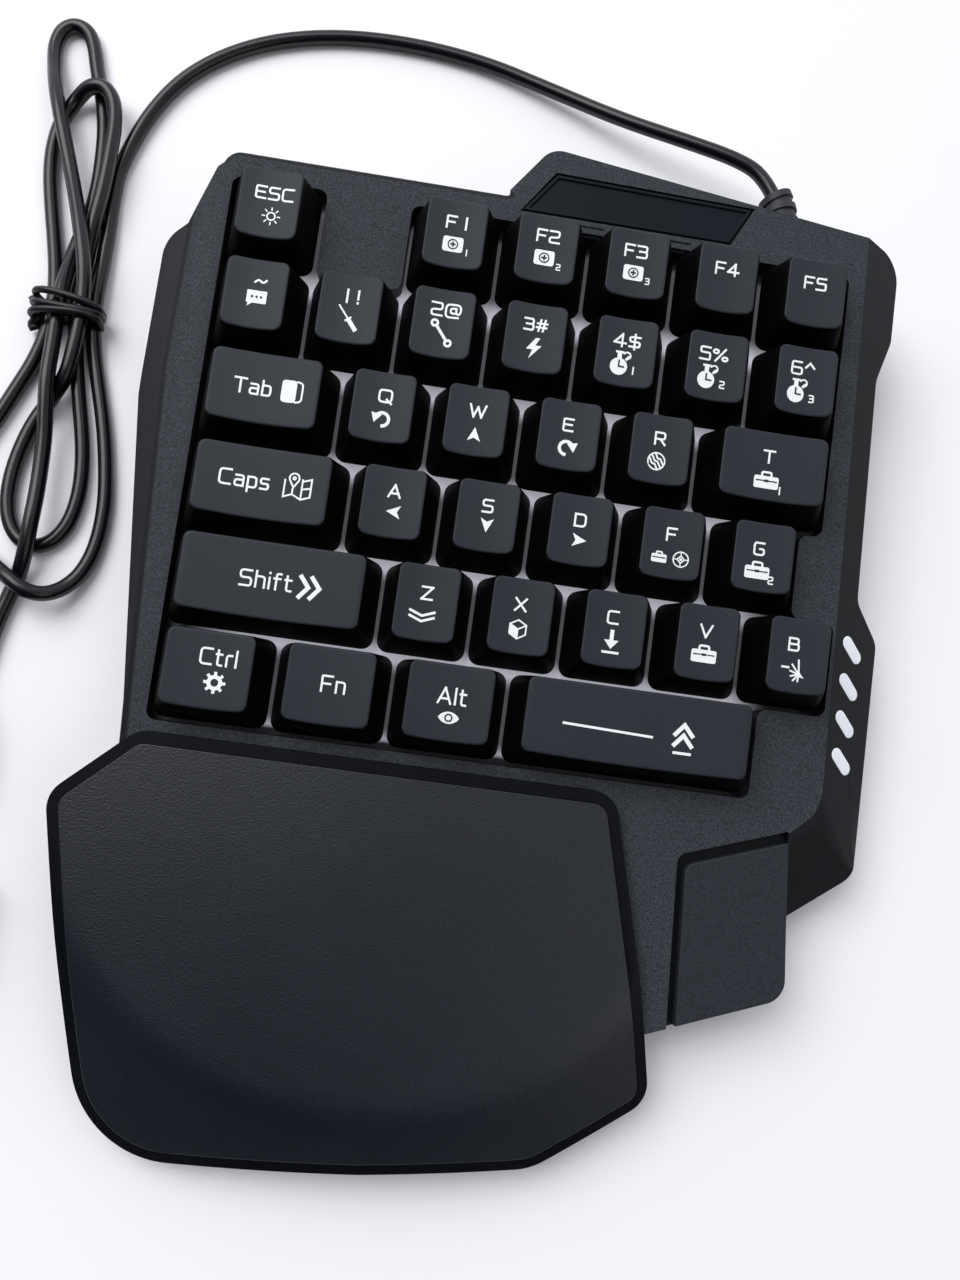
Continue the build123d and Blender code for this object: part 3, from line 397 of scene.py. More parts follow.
def dressNode(node, name, slot, finish, bevel=0.0, steps=2):
    # A merged copy of a rigid CAD piece, with its edges eased by a small round
    mesh = nodes[node].data.copy()
    mesh.name = name
    work = bmesh.new()
    work.from_mesh(mesh)
    bmesh.ops.remove_doubles(work, verts=work.verts, dist=dressing["weld"])
    bmesh.ops.dissolve_limit(
        work, angle_limit=math.radians(dressing["flat"]), verts=work.verts, edges=work.edges,
    )
    work.to_mesh(mesh)
    work.free()
    mesh.materials.clear()
    mesh.materials.append(materials[finish])
    piece = addObject(name, mesh)
    smooth(piece, dressing["sharp"])
    if bevel:
        ease = piece.modifiers.new("easedEdges", "BEVEL")
        ease.width = bevel * mm
        ease.segments = steps
        ease.limit_method = "ANGLE"
        ease.angle_limit = math.radians(dressing["sharp"])
        ease.harden_normals = True
    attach(piece, nodes[node]["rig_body"])
    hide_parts(node)
    return piece


def softenRidges(piece, ridges):
    # Some convex edges of the deck get wider rounds, by their place and by how far their two faces lean
    work = bmesh.new()
    work.from_mesh(piece.data)
    normal = Vector(deckNormal)
    for part in ridges["parts"]:
        left, front, right, back = part["within"]
        upper, lower = part.get("upper", ridges["flat"]), part["lower"]
        chosen = []
        for edge in work.edges:
            if len(edge.link_faces) != 2 or not edge.is_convex:
                continue
            leans = sorted(face.normal.dot(normal) for face in edge.link_faces)
            middle = (edge.verts[0].co + edge.verts[1].co) / mm / 2
            inside = left < middle.x < right and front < middle.y < back
            inHollow = any(a < middle.x < c and b < middle.y < d for a, b, c, d in ridges["hollows"])
            if inside and not inHollow and upper[0] < leans[1] < upper[1] and lower[0] < leans[0] < lower[1]:
                chosen.append(edge)
        print(part["name"], len(chosen), "edges rounded")
        radius, steps = part["round"]
        bmesh.ops.bevel(
            work, geom=chosen, offset=radius * mm, segments=steps, profile=0.5, affect="EDGES",
            clamp_overlap=False, offset_type="OFFSET",
        )
    work.to_mesh(piece.data)
    work.free()


def paintNode(node, finish):
    data = nodes[node].data
    data.materials.clear()
    data.materials.append(materials[finish])


# Cable: the route's own points, from the strain relief round the tied hank and the put-away coil to the plug

cable = {
    "diameter": 3.4, "length": 1497, "low": 1.7, "roundSteps": 4, "pointSteps": 8,
    "route": [
        "53.05,119.3,12 49.95,124.92,12 43.2,128.6,11.4 32,132.3,9.6 15,137.8,6.4 -3,145.2,3.2 -21,150.8,2",
        "-41,152.6 -59.8,150.8 -76.6,145.2 -90,135.4 -98,123 -102.6,107 -102.6,97.8 -102,89.1 -101.6,80,2.1",
        "-101.2,71.2,3.1 -100.5,63.8,2.5 -99.1,57.5 -96.7,50.2 -93.8,41.1 -91.6,31.8 -90.2,23.1 -90.3,14.1",
        "-92.1,7.4,2.1 -95.1,3.1,3.3 -98.2,1,5.4 -101.6,1.1,6.7 -105.5,3.4,6.8 -110.4,6.4,4.4",
        "-117.3,10.4,2.1 -121.7,17 -122.5,25.5 -120.4,33.5 -117.4,40.5 -114.9,47.6 -112.4,54.6",
        "-110.8,61,2.3 -110.3,67.5,2.9 -111,73.8,2.3 -113.1,82.5 -115.8,92.3 -118,101 -118.9,108.8",
        "-118.3,116 -115.8,121.3,2.2 -111.9,123.8,5.2 -108.1,123.8,5.8 -105.3,120.3,5.7 -104.1,114.2,5.6",
        "-103.8,106.6,5.7 -103.8,98.1,5.4 -104.4,90.1,5 -105,83,3.4 -105.2,75.9,2.9 -105,67.9,3",
        "-104,61.1,2.4 -102.7,54.5 -100.7,47.2 -98.7,40.3 -97.1,33.4 -96.3,25.8 -97,18.9 -99.3,14.4",
        "-102.4,12.2 -105.8,12.2 -109.1,14.8 -111.3,19.8 -111.9,26.3 -111.3,33 -109.7,40 -106.8,46.4,2",
        "-103.2,51.2,5.1 -102.5,57.8,5.9 -102.4,64,6.1 -102.6,70.2,6.5 -103.5,77,7.2 -105.5,84,7.4",
        "-108.5,92.3,6.2 -111.6,100.2,5.1 -114.3,107.5,5.4 -116.9,114.6,6 -119.8,122.1,4.9 -122.4,129.6,2.4",
        "-123.7,135.3 -122.9,139.7 -119.8,141.9 -116.3,140.5 -114.3,136.2 -112.9,131.4 -111.1,126.2",
        "-109.3,120.9 -107.8,114.4 -107,106.8 -106.6,99.5 -107.1,92.6 -108.3,85.9,1.8 -108.7,79,3",
        "-108.4,71.8,5.1 -107.8,65.1,5.9 -107.1,57.6,6.4 -106.6,50.3,7 -105.8,43.4,6.4 -105,36.7,5.4",
        "-104.5,29.8,5.1 -104,22.8,5.4 -103.8,15.8,5.9 -104.1,10.1,4.8 -105.4,4.9,2.2 -106.8,0.2 -108.5,-8",
        "-109.5,-20",
    ],
    "coilCentre": (-132, -34), "halfTurnPoints": 6, "coilSpread": 1.012,
    "coilRadii": [22.6, 20.65, 18.7, 16.75, 14.8, 12.85, 16.75, 18.7, 20.65, 22.6, 24.55],
    "coilHeights": [1.7] * 5 + [5.6] * 6,
    "plugEnd": [(-107.45, -44, 4.7), (-107.45, -51.4, 4.2)],
}


def coilPoints(form):
    # Each half turn ends at its own radius, and radius and height go evenly from one to the next
    count = (len(form["coilRadii"]) - 1) * form["halfTurnPoints"]
    half = np.arange(count + 1) / form["halfTurnPoints"]
    known = np.arange(len(form["coilRadii"]))
    reach = np.interp(half, known, form["coilRadii"]) * form["coilSpread"]
    height = np.interp(half, known, form["coilHeights"])
    turn = -math.pi * half
    x = form["coilCentre"][0] + reach * np.cos(turn)
    y = form["coilCentre"][1] + reach * np.sin(turn)
    return np.stack([x, y, height], axis=1)


def addCable(form):
    # A point of the route that has no height lies on the desk
    words = [word.split(",") for row in form["route"] for word in row.split()]
    route = np.array([(*word, form["low"])[:3] for word in words], float)
    points = np.vstack([route, coilPoints(form), form["plugEnd"]]) * mm
    curve = bpy.data.curves.new("cable", "CURVE")
    curve.dimensions = "3D"
    curve.bevel_depth = form["diameter"] / 2 * mm
    curve.bevel_resolution = form["roundSteps"]
    curve.resolution_u = form["pointSteps"]
    curve.use_fill_caps = True
    spline = curve.splines.new("NURBS")
    spline.points.add(len(points) - 1)
    spline.points.foreach_set("co", np.hstack([points, np.ones((len(points), 1))]).ravel())
    spline.order_u = 3
    spline.use_endpoint_u = True
    spline.use_smooth = True
    curve.materials.append(materials["cable"])
    piece = addObject("cable", curve)
    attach(piece, "root")
    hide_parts("cable_lead", "cable_hank", "cable_coil")
    return piece


cablePiece = addCable(cable)
print("cable laid")

# Twist tie: a thin coated wire, wound round the bundle and closed by its twisted ends

tie = {
    "radius": 0.8, "turns": 2.6, "start": -0.35, "steps": 190, "reference": (0.31, 0.17, 0.93),
    "centre": (-106.0, 66.8, 4.75), "half": (7.6, 4.0), "power": 2.6, "pitch": 1.9,
    "tilt": 0.7, "tiltWave": (1.31, 0.7),
    "tailPlace": (-114.1, 69.0, 4.6), "tailSteps": 60, "tailTurns": 2.2, "tailTwist": 0.7,
    "tailBow": 1.2, "tailRun": 6.4, "tailDrop": 2.6,
}


def unit(vectors):
    return vectors / np.linalg.norm(vectors, axis=1)[:, None]


def tubeAlong(path, radius, around=10):
    # A round tube: a ring at each point of the path, square to it, that starts beside one fixed direction
    ahead = unit(np.gradient(path, axis=0))
    side = unit(np.cross(ahead, tie["reference"]))
    upward = np.cross(ahead, side)
    angle = np.arange(around) * 2 * math.pi / around
    ring = np.cos(angle)[None, :, None] * side[:, None] + np.sin(angle)[None, :, None] * upward[:, None]
    return (path[:, None] + ring * radius).reshape(-1, 3), ringFaces(len(path), around)


def tiePath(form):
    # A flattened ring, |x/a|^p + |z/b|^p = 1, that moves along the bundle as it goes round
    turn = np.linspace(form["start"], form["turns"] * 2 * math.pi, form["steps"])
    c, s = np.cos(turn), np.sin(turn)
    reach = (np.abs(c) ** form["power"] + np.abs(s) ** form["power"]) ** (-1 / form["power"])
    x = form["centre"][0] + form["half"][0] * reach * c
    z = form["centre"][2] + form["half"][1] * reach * s
    along = turn / (2 * math.pi) - form["turns"] / 2
    wave, shift = form["tiltWave"]
    y = form["centre"][1] + form["pitch"] * along + form["tilt"] * np.sin(turn * wave + shift)
    return np.stack([x, y, np.maximum(z, form["radius"])], axis=1) * mm


def tieEnds(form):
    # The two ends turn about each other and lie along the left of the bundle
    along = np.linspace(0, 1, form["tailSteps"])
    left, back, height = form["tailPlace"]
    parts = []
    for phase in (0, math.pi):
        turn = along * 2 * math.pi * form["tailTurns"] + phase
        x = left + form["tailTwist"] * np.cos(turn) + form["tailBow"] * np.sin(along * math.pi)
        y = back - along * form["tailRun"]
        z = height + form["tailTwist"] * np.sin(turn) - form["tailDrop"] * along**2
        parts.append(tubeAlong(np.stack([x, y, z], axis=1) * mm, form["radius"] * mm, 8))
    return parts


tiePoints, tieFaces = joinParts([tubeAlong(tiePath(tie), tie["radius"] * mm), *tieEnds(tie)])
tiePiece = addMesh("cableTwistTie", tiePoints, tieFaces, "root", "wire")
smooth(tiePiece, 60)
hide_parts("cable_tie")

bootPiece = dressNode("strain_relief", "strainRelief", "cable_rubber", "boot", 0.2)
plugBody = dressNode("usb_plug_body", "plugBody", "plug_plastic", "base", 0.35, 3)
paintNode("usb_plug_shell", "steel")
print("tie, strain relief and plug made")


# Case pieces

# Each: CAD node, name, slot and finish, then the round of its edges and its steps, where needed
casePieces = [
    ("top_case", "topCase", "deck_plastic", "deckAndWings", 0.45, 3),
    ("bottom_case", "bottomCase", "base_plastic", "base", 0.3),
    ("nameplate", "nameplate", "badge_plastic", "badge", 0.2),
    ("thumb_rest", "thumbRest", "thumb_rubber", "thumb", 0.35),
    ("palm_rest_base", "palmRestBase", "rest_plastic", "rest", 0.4, 3),
    ("palm_rest_pad", "palmRestPad", "pad_rubber", "pad", 0.35, 3),
    ("guide_plate", "guidePlate", "white_plastic", "litPlate"),
    ("side_light_bars", "sideLightBars", "light_diffuser", "lightBar", 0.3),
    ("left_flip_foot", "leftFlipFoot", "base_plastic", "base", 0.3),
    ("right_flip_foot", "rightFlipFoot", "base_plastic", "base", 0.3),
    ("rubber_feet", "rubberFeet", "foot_rubber", "rubber", 0.3),
]
# "within" and the hollows are left, front, right and back. The cosines bound the lean of an edge's two faces:
# "upper", or else "flat", that of the flatter one, and "lower" that of the other
ridges = {
    "flat": (0.995, 1.1),
    "hollows": [(-72, -30, 73, 94.4), (-10, 93, 46, 105)],
    "parts": [
        {"name": "back rim", "within": (-90, 90, -6.5, 120), "lower": (-0.15, 0.15), "round": (2.2, 4)},
        {"name": "left ridge", "within": (-90, -40, -70, 120), "lower": (0.6, 0.97), "round": (1.2, 3)},
        {"name": "right corner", "within": (60, -50, 90, -12), "upper": (0.3, 0.97), "lower": (0.3, 0.97),
         "round": (3.0, 5)},
    ],
}
plateShrink = (0.987, 0.935, 1.0)
innerPaint = {
    "dome_mat": "silicone", "switch_film": "film", "backlight_board": "board", "backlight_chips": "chip",
    "side_light_board": "board", "controller_board": "board", "case_screws": "steel",
}
for node, *look in casePieces:
    piece = dressNode(node, *look)
    if node == "top_case":
        softenRidges(piece, ridges)
    if node == "nameplate":
        low, high = (Vector(corner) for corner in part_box(node))
        middle = Matrix.Translation((low + high) / 2)
        shrink = Matrix.Diagonal((*plateShrink, 1))
        piece.data.transform(middle @ shrink @ middle.inverted())
for node, finish in innerPaint.items():
    paintNode(node, finish)
print("case dressed")


# Keys, in millimetres on the deck. The side shares go up from a cap's foot, the top shares in to its middle

keys = {
    "pitch": 19.05, "blockLeft": -67.907, "blockBack": 91.752, "tilt": 5, "height": 20,
    "gap": 0.65, "sink": 1, "top": 8, "side": 2.95, "topDepth": 14.2, "lowTopDepth": 15.1, "shift": 1.5,
    "baseCorner": 2.4, "baseRound": 0.15, "innerCorner": 1, "topCorner": 1.6,
    "sideShares": (0.02, 0.2, 0.5, 0.8, 0.93), "bow": 0.4,
    "topShares": (0.93, 0.8, 0.6, 0.4, 0.2, 0.07), "dish": 0.6,
    "edge": 0.45, "edgeTurns": (12, 35, 58, 80), "wall": 1.2, "roof": 1.5,
    "stem": (5.4, 5.4), "stemEnd": -7.3, "barb": (6.6, 2.7), "barbEnds": (0.3, 1.1),
    "post": (2.4, 2.4), "postEnd": -6.1, "tip": (0.75, 0.6),
}
keys["ceiling"] = keys["top"] - keys["dish"] - keys["roof"]

# The rows from the back, each key with its width in pitches where that isn't 1; "-" is a gap
keyRows = [
    "esc - f1 f2 f3 f4 f5",
    "grave 1 2 3 4 5 6",
    "tab:1.5 q w e r t:1.5",
    "caps:1.75 a s d f g",
    "shift:2.25 z x c v b",
    "ctrl:1.25 fn:1.25 alt:1.25 space:2.75",
]


def onDeck(points):
    # (across, up the deck, out of the deck) in millimetres becomes a place in metres
    tilt = math.radians(keys["tilt"])
    x, v, n = np.moveaxis(np.asarray(points, float), -1, 0)
    y = v * math.cos(tilt) - n * math.sin(tilt)
    z = keys["height"] + v * math.sin(tilt) + n * math.cos(tilt)
    return np.stack([x, y, z], axis=-1) * mm


def roundedRing(halfX, halfY, corner, arc=6, run=8):
    # A rectangle with round corners: the same count of points on each straight run and on each quarter circle
    share = np.linspace(0, 1, run + 2)[1:-1, None]
    bends = []
    for k, (sx, sy) in enumerate([(1, 1), (-1, 1), (-1, -1), (1, -1)]):
        turn = (k + np.linspace(0, 1, arc)) * math.pi / 2
        centre = np.array([sx * (halfX - corner), sy * (halfY - corner)])
        bends.append(centre + corner * np.stack([np.cos(turn), np.sin(turn)], axis=1))
    runs = [bend[-1] + share * (after[0] - bend[-1]) for bend, after in zip(bends, bends[1:] + bends[:1])]
    return np.vstack([part for pair in zip(bends, runs) for part in pair])


def capSize(row, units):
    width, depth = units * keys["pitch"] - keys["gap"], keys["pitch"] - keys["gap"]
    topDepth = keys["lowTopDepth"] if row > 3 else keys["topDepth"]
    return width, depth, width - 2 * keys["side"], topDepth


def dishAt(x, topWidth):
    # The top is hollow from side to side: lowest in the middle, at full height at its edges
    return keys["top"] - keys["dish"] * (1 - np.clip(2 * x / topWidth, -1, 1) ** 2)


def capPart(row, units):
    # Rings from the inner ceiling down to the skirt, up the outside, round the edge and in over the top
    width, depth, topWidth, topDepth = capSize(row, units)
    wall, baseRound, sink, shift = keys["wall"], keys["baseRound"], keys["sink"], keys["shift"]
    innerCorner, baseCorner, topCorner = keys["innerCorner"], keys["baseCorner"], keys["topCorner"]
    edge = keys["edge"]
    rings = []

    def ring(sizeX, sizeY, corner, shift, hollow, level, bow=0.0):
        # Its height is the top's times hollow, plus level. Its front bows out in the middle
        flat = roundedRing(sizeX / 2, sizeY / 2, corner)
        height = hollow * dishAt(flat[:, 0], topWidth) + level
        front = np.clip(-2 * flat[:, 1] / sizeY, 0, 1) ** 2
        flat[:, 1] -= bow * keys["bow"] * front * (1 - (2 * flat[:, 0] / sizeX) ** 2)
        rings.append(np.column_stack([flat[:, 0], flat[:, 1] + shift, height]))

    ring(topWidth - wall, topDepth - wall, innerCorner, shift, 0, keys["ceiling"])
    ring(width - 2 * wall, depth - 2 * wall, innerCorner, 0, 0, -sink)
    ring(width - 2 * baseRound, depth - 2 * baseRound, baseCorner, 0, 0, -sink)
    for s in keys["sideShares"]:
        sizes = width + s * (topWidth - width), depth + s * (topDepth - depth)
        ring(*sizes, baseCorner + s * (topCorner - baseCorner), s * shift, s, -(1 - s) * sink, s)
    sideRings = len(rings)
    for turn in np.radians(keys["edgeTurns"]):
        inset, drop = edge * (1 - math.cos(turn)), edge * (1 - math.sin(turn))
        ring(topWidth - 2 * inset, topDepth - 2 * inset, topCorner - inset, shift, 1, -drop, 1)
    for s in keys["topShares"]:
        ring(s * topWidth, s * topDepth, s * (topCorner - edge), shift, 1, 0, s)
    count = len(rings[0])
    faces = ringFaces(len(rings), count)
    # The sides' near-black colour, partly their gloss and partly painted shade, ends one ring above them, and
    # the last face closes the top
    isTop = np.array(faces[:-2]).min(axis=1) >= (sideRings + 1) * count
    return np.vstack(rings), faces, np.append(isTop.astype(int), [0, 1])


def postPart(x, size, bottom, top):
    # A plain post with a chamfered tip, from bottom to top
    tipShare, tipHeight = keys["tip"]
    square = np.array([(1, 1), (-1, 1), (-1, -1), (1, -1)]) * size / 2
    levels = [(tipShare, bottom), (1, bottom + tipHeight), (1, top)]
    points = np.vstack([np.column_stack([share * square, np.full(4, level)]) for share, level in levels])
    return points + (x, 0, 0), ringFaces(3, 4)


# Key legends: letters and symbols, drawn with points written as in an SVG polyline

def readPoints(points):
    if isinstance(points, str):
        points = [pair.split(",") for pair in points.split()]
    return np.array(points, float)


def circle(x, y, radius, start=0, end=360, count=18):
    turn = np.radians(np.linspace(start, end, count + 1))
    return np.stack([x + radius * np.cos(turn), y + radius * np.sin(turn)], axis=1).tolist()


def rectangle(x, y, halfX, halfY):
    corners = [(0, 1), (-1, 1), (-1, -1), (1, -1), (1, 1), (0, 1)]
    return [(x + sx * halfX, y + sy * halfY) for sx, sy in corners]


# Each letter, on a height of 1: its width and its strokes. One with round corners has the size of that round
letters = {
    " ": (0.2, []),
    "A": (0.78, ["0,0 .39,1", ".39,1 .78,0", ".16,.3 .62,.3"]),
    "B": (0.64, ["0,0 0,1", (0.2, "0,1 .6,1 .6,.52 0,.52"), (0.2, "0,.52 .64,.52 .64,0 0,0")]),
    "C": (0.66, [(0.24, ".66,1 0,1 0,0 .66,0")]),
    "D": (0.68, ["0,0 0,1", (0.32, "0,1 .68,1 .68,0 0,0")]),
    "E": (0.6, [(0.14, ".6,1 0,1 0,0 .6,0"), "0,.52 .52,.52"]),
    "F": (0.58, [(0.06, ".58,1 0,1 0,0"), "0,.5 .48,.5"]),
    "G": (0.7, [(0.22, ".68,1 0,1 0,0 .7,0 .7,.5 .4,.5")]),
    "Q": (0.8, [(0.34, ".4,1 0,1 0,0 .8,0 .8,1 .4,1"), ".5,.22 .8,-.1"]),
    "R": (0.64, ["0,0 0,1", (0.22, "0,1 .62,1 .62,.45 0,.45"), ".34,.42 .64,0"]),
    "S": (0.62, [(0.2, ".6,1 0,1 0,.52 .62,.52 .62,0 0,0")]),
    "T": (0.7, ["0,1 .7,1", ".35,1 .35,0"]),
    "V": (0.74, ["0,1 .37,0", ".37,0 .74,1"]),
    "W": (1, ["0,1 .25,0", ".25,0 .5,.85", ".5,.85 .75,0", ".75,0 1,1"]),
    "X": (0.68, ["0,0 .68,1", "0,1 .68,0"]),
    "Z": (0.66, ["0,1 .66,1", ".66,1 0,0", "0,0 .66,0"]),
    "a": (0.5, [(0.16, ".04,.7 .5,.7 .5,0"), (0.16, ".5,.4 0,.4 0,0 .5,0")]),
    "b": (0.5, ["0,1.02 0,0", (0.2, "0,.7 .5,.7 .5,0 0,0")]),
    "f": (0.36, [(0.14, ".36,1.02 .12,1.02 .12,0"), "0,.7 .34,.7"]),
    "h": (0.48, ["0,1.02 0,0", (0.2, "0,.7 .48,.7 .48,0")]),
    "i": (0, ["0,.7 0,0", "0,1 0,1.02"]),
    "l": (0, ["0,1.02 0,0"]),
    "n": (0.48, ["0,.7 0,0", (0.2, "0,.7 .48,.7 .48,0")]),
    "p": (0.5, ["0,.7 0,-.3", (0.2, "0,.7 .5,.7 .5,0 0,0")]),
    "r": (0.3, [(0.18, "0,0 0,.7 .3,.7")]),
    "s": (0.46, [(0.14, ".44,.7 0,.7 0,.36 .46,.36 .46,0 0,0")]),
    "t": (0.36, [(0.14, ".1,.95 .1,0 .36,0"), "0,.7 .34,.7"]),
    "1": (0, ["0,1 0,0"]),
    "2": (0.6, [(0.18, "0,1 .6,1 .6,.5 0,.44 0,0 .62,0")]),
    "3": (0.62, [(0.18, "0,1 .6,1 .6,.52 .14,.52"), (0.18, ".14,.52 .62,.52 .62,0 0,0")]),
    "4": (0.68, [".46,0 .46,1", ".46,1 0,.28", "0,.28 .68,.28"]),
    "5": (0.6, [(0.14, ".58,1 .02,1 .02,.56 .6,.56 .6,0 0,0")]),
    "6": (0.62, [(0.2, ".56,1 0,1 0,0 .62,0 .62,.54 .04,.54")]),
    "!": (0, ["0,1 0,.34", "0,.04 0,0"]),
    "@": (0.86, [(0.36, ".74,-.02 0,-.06 0,1 .86,1 .86,.26 .6,.26 .6,.7"),
        (0.18, ".6,.7 .28,.7 .28,.3 .6,.3")]),
    "#": (0.7, [".14,0 .26,1", ".44,0 .56,1", "0,.32 .66,.32", ".04,.68 .7,.68"]),
    "$": (0.6, [(0.2, ".6,.88 0,.88 0,.5 .6,.5 .6,.1 0,.1"), ".3,1.1 .3,-.1"]),
    "%": (0.8, [".12,0 .68,1", circle(0.12, 0.78, 0.15), circle(0.68, 0.22, 0.15)]),
    "^": (0.5, ["0,.62 .25,1", ".25,1 .5,.62"]),
    "~": (0.7, [(0.16, "0,.4 .2,.64 .5,.36 .7,.6")]),
}
wave = np.linspace(-1.25, 1.25, 9)
waveLine = np.stack([wave * 0.75, 0.22 * np.sin(wave * 4) - wave * 0.75], axis=1)
chevronUp = readPoints("-1.7,-1.3 0,.7 1.7,-1.3")
# Each symbol, in millimetres: white fills and lines, and dark ones over them. A line is its width, its points
# and the round of its corners if it has one, and a fill is the same with a width of 0
symbols = {
    "sun": {"lines": [(0.3, circle(0, 0, 0.8))] + [
        (0.26, [(1.3 * c, 1.3 * s), (1.75 * c, 1.75 * s)]) for c, s in circle(0, 0, 1, 0, 315, 7)]},
    "kit": {"fills": [(0, rectangle(0, 0, 2.1, 1.6), 0.6)], "darkLines": [(0.24, circle(0, 0, 0.98)),
        (0.34, "-.4,0 .4,0"), (0.34, "0,-.4 0,.4")]},
    "bubble": {"fills": [(0, rectangle(0, 0.3, 2, 1.3), 0.2), (0, "-1.6,-.6 -.3,-.6 -1.7,-1.8")],
        "darkFills": [(0, circle(x, 0.3, 0.24)) for x in (-0.9, 0, 0.9)]},
    "screwdriver": {"lines": [(0.34, "-1.9,2.4 .3,-.3"), (0.9, ".5,-.6 1.7,-2.1"), (0.4, "-.3,-.5 .6,.2")]},
    "spanner": {"lines": [(0.6, "-1.2,1.5 1.2,-1.5"), (0.5, circle(-1.55, 1.95, 0.62, -10, 260)),
        (0.5, circle(1.55, -1.95, 0.62, 170, 440))]},
    "bolt": {"fills": [(0, ".3,2.2 -1.5,-.3 -.2,-.3 -.8,-2.3 1.6,.6 .3,.6 1.2,2.2")]},
    "stopwatch": {"fills": [(0, circle(-0.3, -0.6, 1.4))],
        "lines": [(0.7, "-.3,.9 -.3,1.3"), (0.35, "-.8,1.75 .2,1.75"), (0.4, ".85,.7 1.15,1.05"),
        (0.25, circle(0.9, 1.3, 0.55, -60, 150))],
        "darkLines": [(0.24, "-.3,-.6 -.3,.35"), (0.24, "-.3,-.6 .5,-.6")]},
    "barrel": {"fills": [(0, rectangle(-0.6, 0, 1.5, 2.3), 0.9)],
        "lines": [(0.36, ".9,2.1 2.1,1.9 2.1,-1.9 .9,-2.1", 0.8)]},
    "map": {"lines": [(0.34, "-2.6,1.2 -2.6,-2.2 -.9,-1.5 .9,-2.4 2.7,-1.7 2.7,1.9 1,1.3"),
        (0.34, "-.9,-1.4 -.9,-.4"), (0.34, ".9,-2.2 .9,1.6"), (0.34, ".9,-.3 2.7,.1"),
        (0.3, circle(-0.8, 1.75, 0.28)),
        (0.34, circle(-0.8, 1.75, 0.98, -30, 210) + [(-0.8, -0.1), (0.05, 1.26)])]},
    "turnLeft": {"lines": [(0.5, circle(0, -0.1, 1.05, -80, 150))],
        "fills": [(0, "-1.75,.9 -.1,.6 -1.2,-.7")]},
    "turnRight": {"lines": [(0.5, circle(0, -0.1, 1.05, 30, 260))], "fills": [(0, "1.75,.9 1.2,-.7 .1,.6")]},
    "up": {"fills": [(0, "0,1.5 -1.35,-1.4 0,-.7 1.35,-1.4")]},
    "down": {"fills": [(0, "0,-1.5 1.35,1.4 0,.7 -1.35,1.4")]},
    "left": {"fills": [(0, "-1.5,0 1.4,-1.35 .7,0 1.4,1.35")]},
    "right": {"fills": [(0, "1.5,0 -1.4,1.35 -.7,0 -1.4,-1.35")]},
    "waves": {"lines": [(0.3, circle(0, 0, 1.75, 20, 200)), (0.3, circle(0, 0, 1.75, 215, 370))] + [
        (0.36, waveLine + shift) for shift in (-0.55, 0, 0.55)]},
    "toolbox": {"fills": [(0, rectangle(0, -0.5, 2.6, 1.3), 0.5)],
        "lines": [(0.45, "-1,.8 -1,1.6 1,1.6 1,.8", 0.4)], "darkLines": [(0.22, "-2.1,-.2 2.1,-.2"),
        (0.5, "-.2,-.2 .2,-.2")]},
    "smallBox": {"fills": [(0, rectangle(0, -0.3, 1.6, 0.85), 0.35)],
        "lines": [(0.32, "-.6,.5 -.6,1 .6,1 .6,.5", 0.25)], "darkLines": [(0.18, "-1.3,-.15 1.3,-.15")]},
    "ring": {"lines": [(0.26, circle(0, 0, 1.55)), (0.26, circle(0, 0, 0.75, 0, 360, 4))] + [
        (0.22, line) for line in ("-1.5,0 -.9,0", ".9,0 1.5,0", "0,.9 0,1.5", "0,-1.5 0,-.9")],
        "fills": [(0, circle(0, 0, 0.3))]},
    "fan": {"lines": [(0.45, "-2.4,.3 -1.1,.3")] + [
        (0.36, [(1.2, -0.9), (1.2 + reach * c, -0.9 + reach * s)])
        for (c, s), reach in zip(circle(0, 0, 1, 95, 265, 5), (2.9, 2.4, 1.9, 1.7, 1.7, 1.4))],
        "fills": [(0, "1,-.1 .3,-1.2 2.3,-1.6")]},
    "forwardTwice": {"lines": [(0.85, "-2,2 -.4,0 -2,-2"), (0.85, ".2,2 1.8,0 .2,-2")]},
    "lowChevrons": {"lines": [(0.5, "-2.4,1 0,.1 2.4,1"), (0.5, "-2.4,-.1 0,-1 2.4,-.1")]},
    "cube": {"lines": [(0.3, circle(0, 0, 1.9, 30, 390, 6)), (0.3, "0,0 0,-1.9"),
        (0.3, "0,0 1.65,.95"), (0.3, "0,0 -1.65,.95")],
        "fills": [(0, "-1.65,.95 -1.65,-.95 0,-1.9 0,0")]},
    "lower": {"lines": [(0.8, "0,2.1 0,.4"), (0.5, "-1.5,-2.1 1.5,-2.1")],
        "fills": [(0, "-1.5,.4 0,-1.4 1.5,.4")]},
    "cog": {"lines": [(0.75, circle(0, 0, 1.15))] + [
        (0.6, [(1.5 * c, 1.5 * s), (1.85 * c, 1.85 * s)]) for c, s in circle(0, 0, 1, 0, 315, 7)]},
    "eye": {"fills": [(0, circle(0, -1.25, 2.45, 30.5, 149.5, 14) + circle(0, 1.25, 2.45, 210.5, 329.5, 14))],
        "darkLines": [(0.28, circle(0, 0, 0.68))]},
    "upTwice": {"lines": [(0.85, chevronUp), (0.85, chevronUp + (0, 2.1)), (0.55, "-1.6,-2.9 1.6,-2.9")]},
    "line": {"lines": [(0.5, "-9,.25 9,-.25")]},
}
ink = {
    "textSize": (2.45, 1.3), "stroke": 0.42, "fullStrokeFrom": 2, "spacing": 0.3, "larger": 1.3,
    "raise": 0.02, "step": 0.004, "levels": 9, "over": 0.1, "sink": 0.06,
    "sample": 0.7, "cornerPoints": 6, "mitre": 2,
}
for name in ("stopwatch", "turnLeft", "turnRight"):
    for marks in symbols[name].values():
        marks[:] = [(ink["larger"] * width, ink["larger"] * readPoints(points)) for width, points in marks]

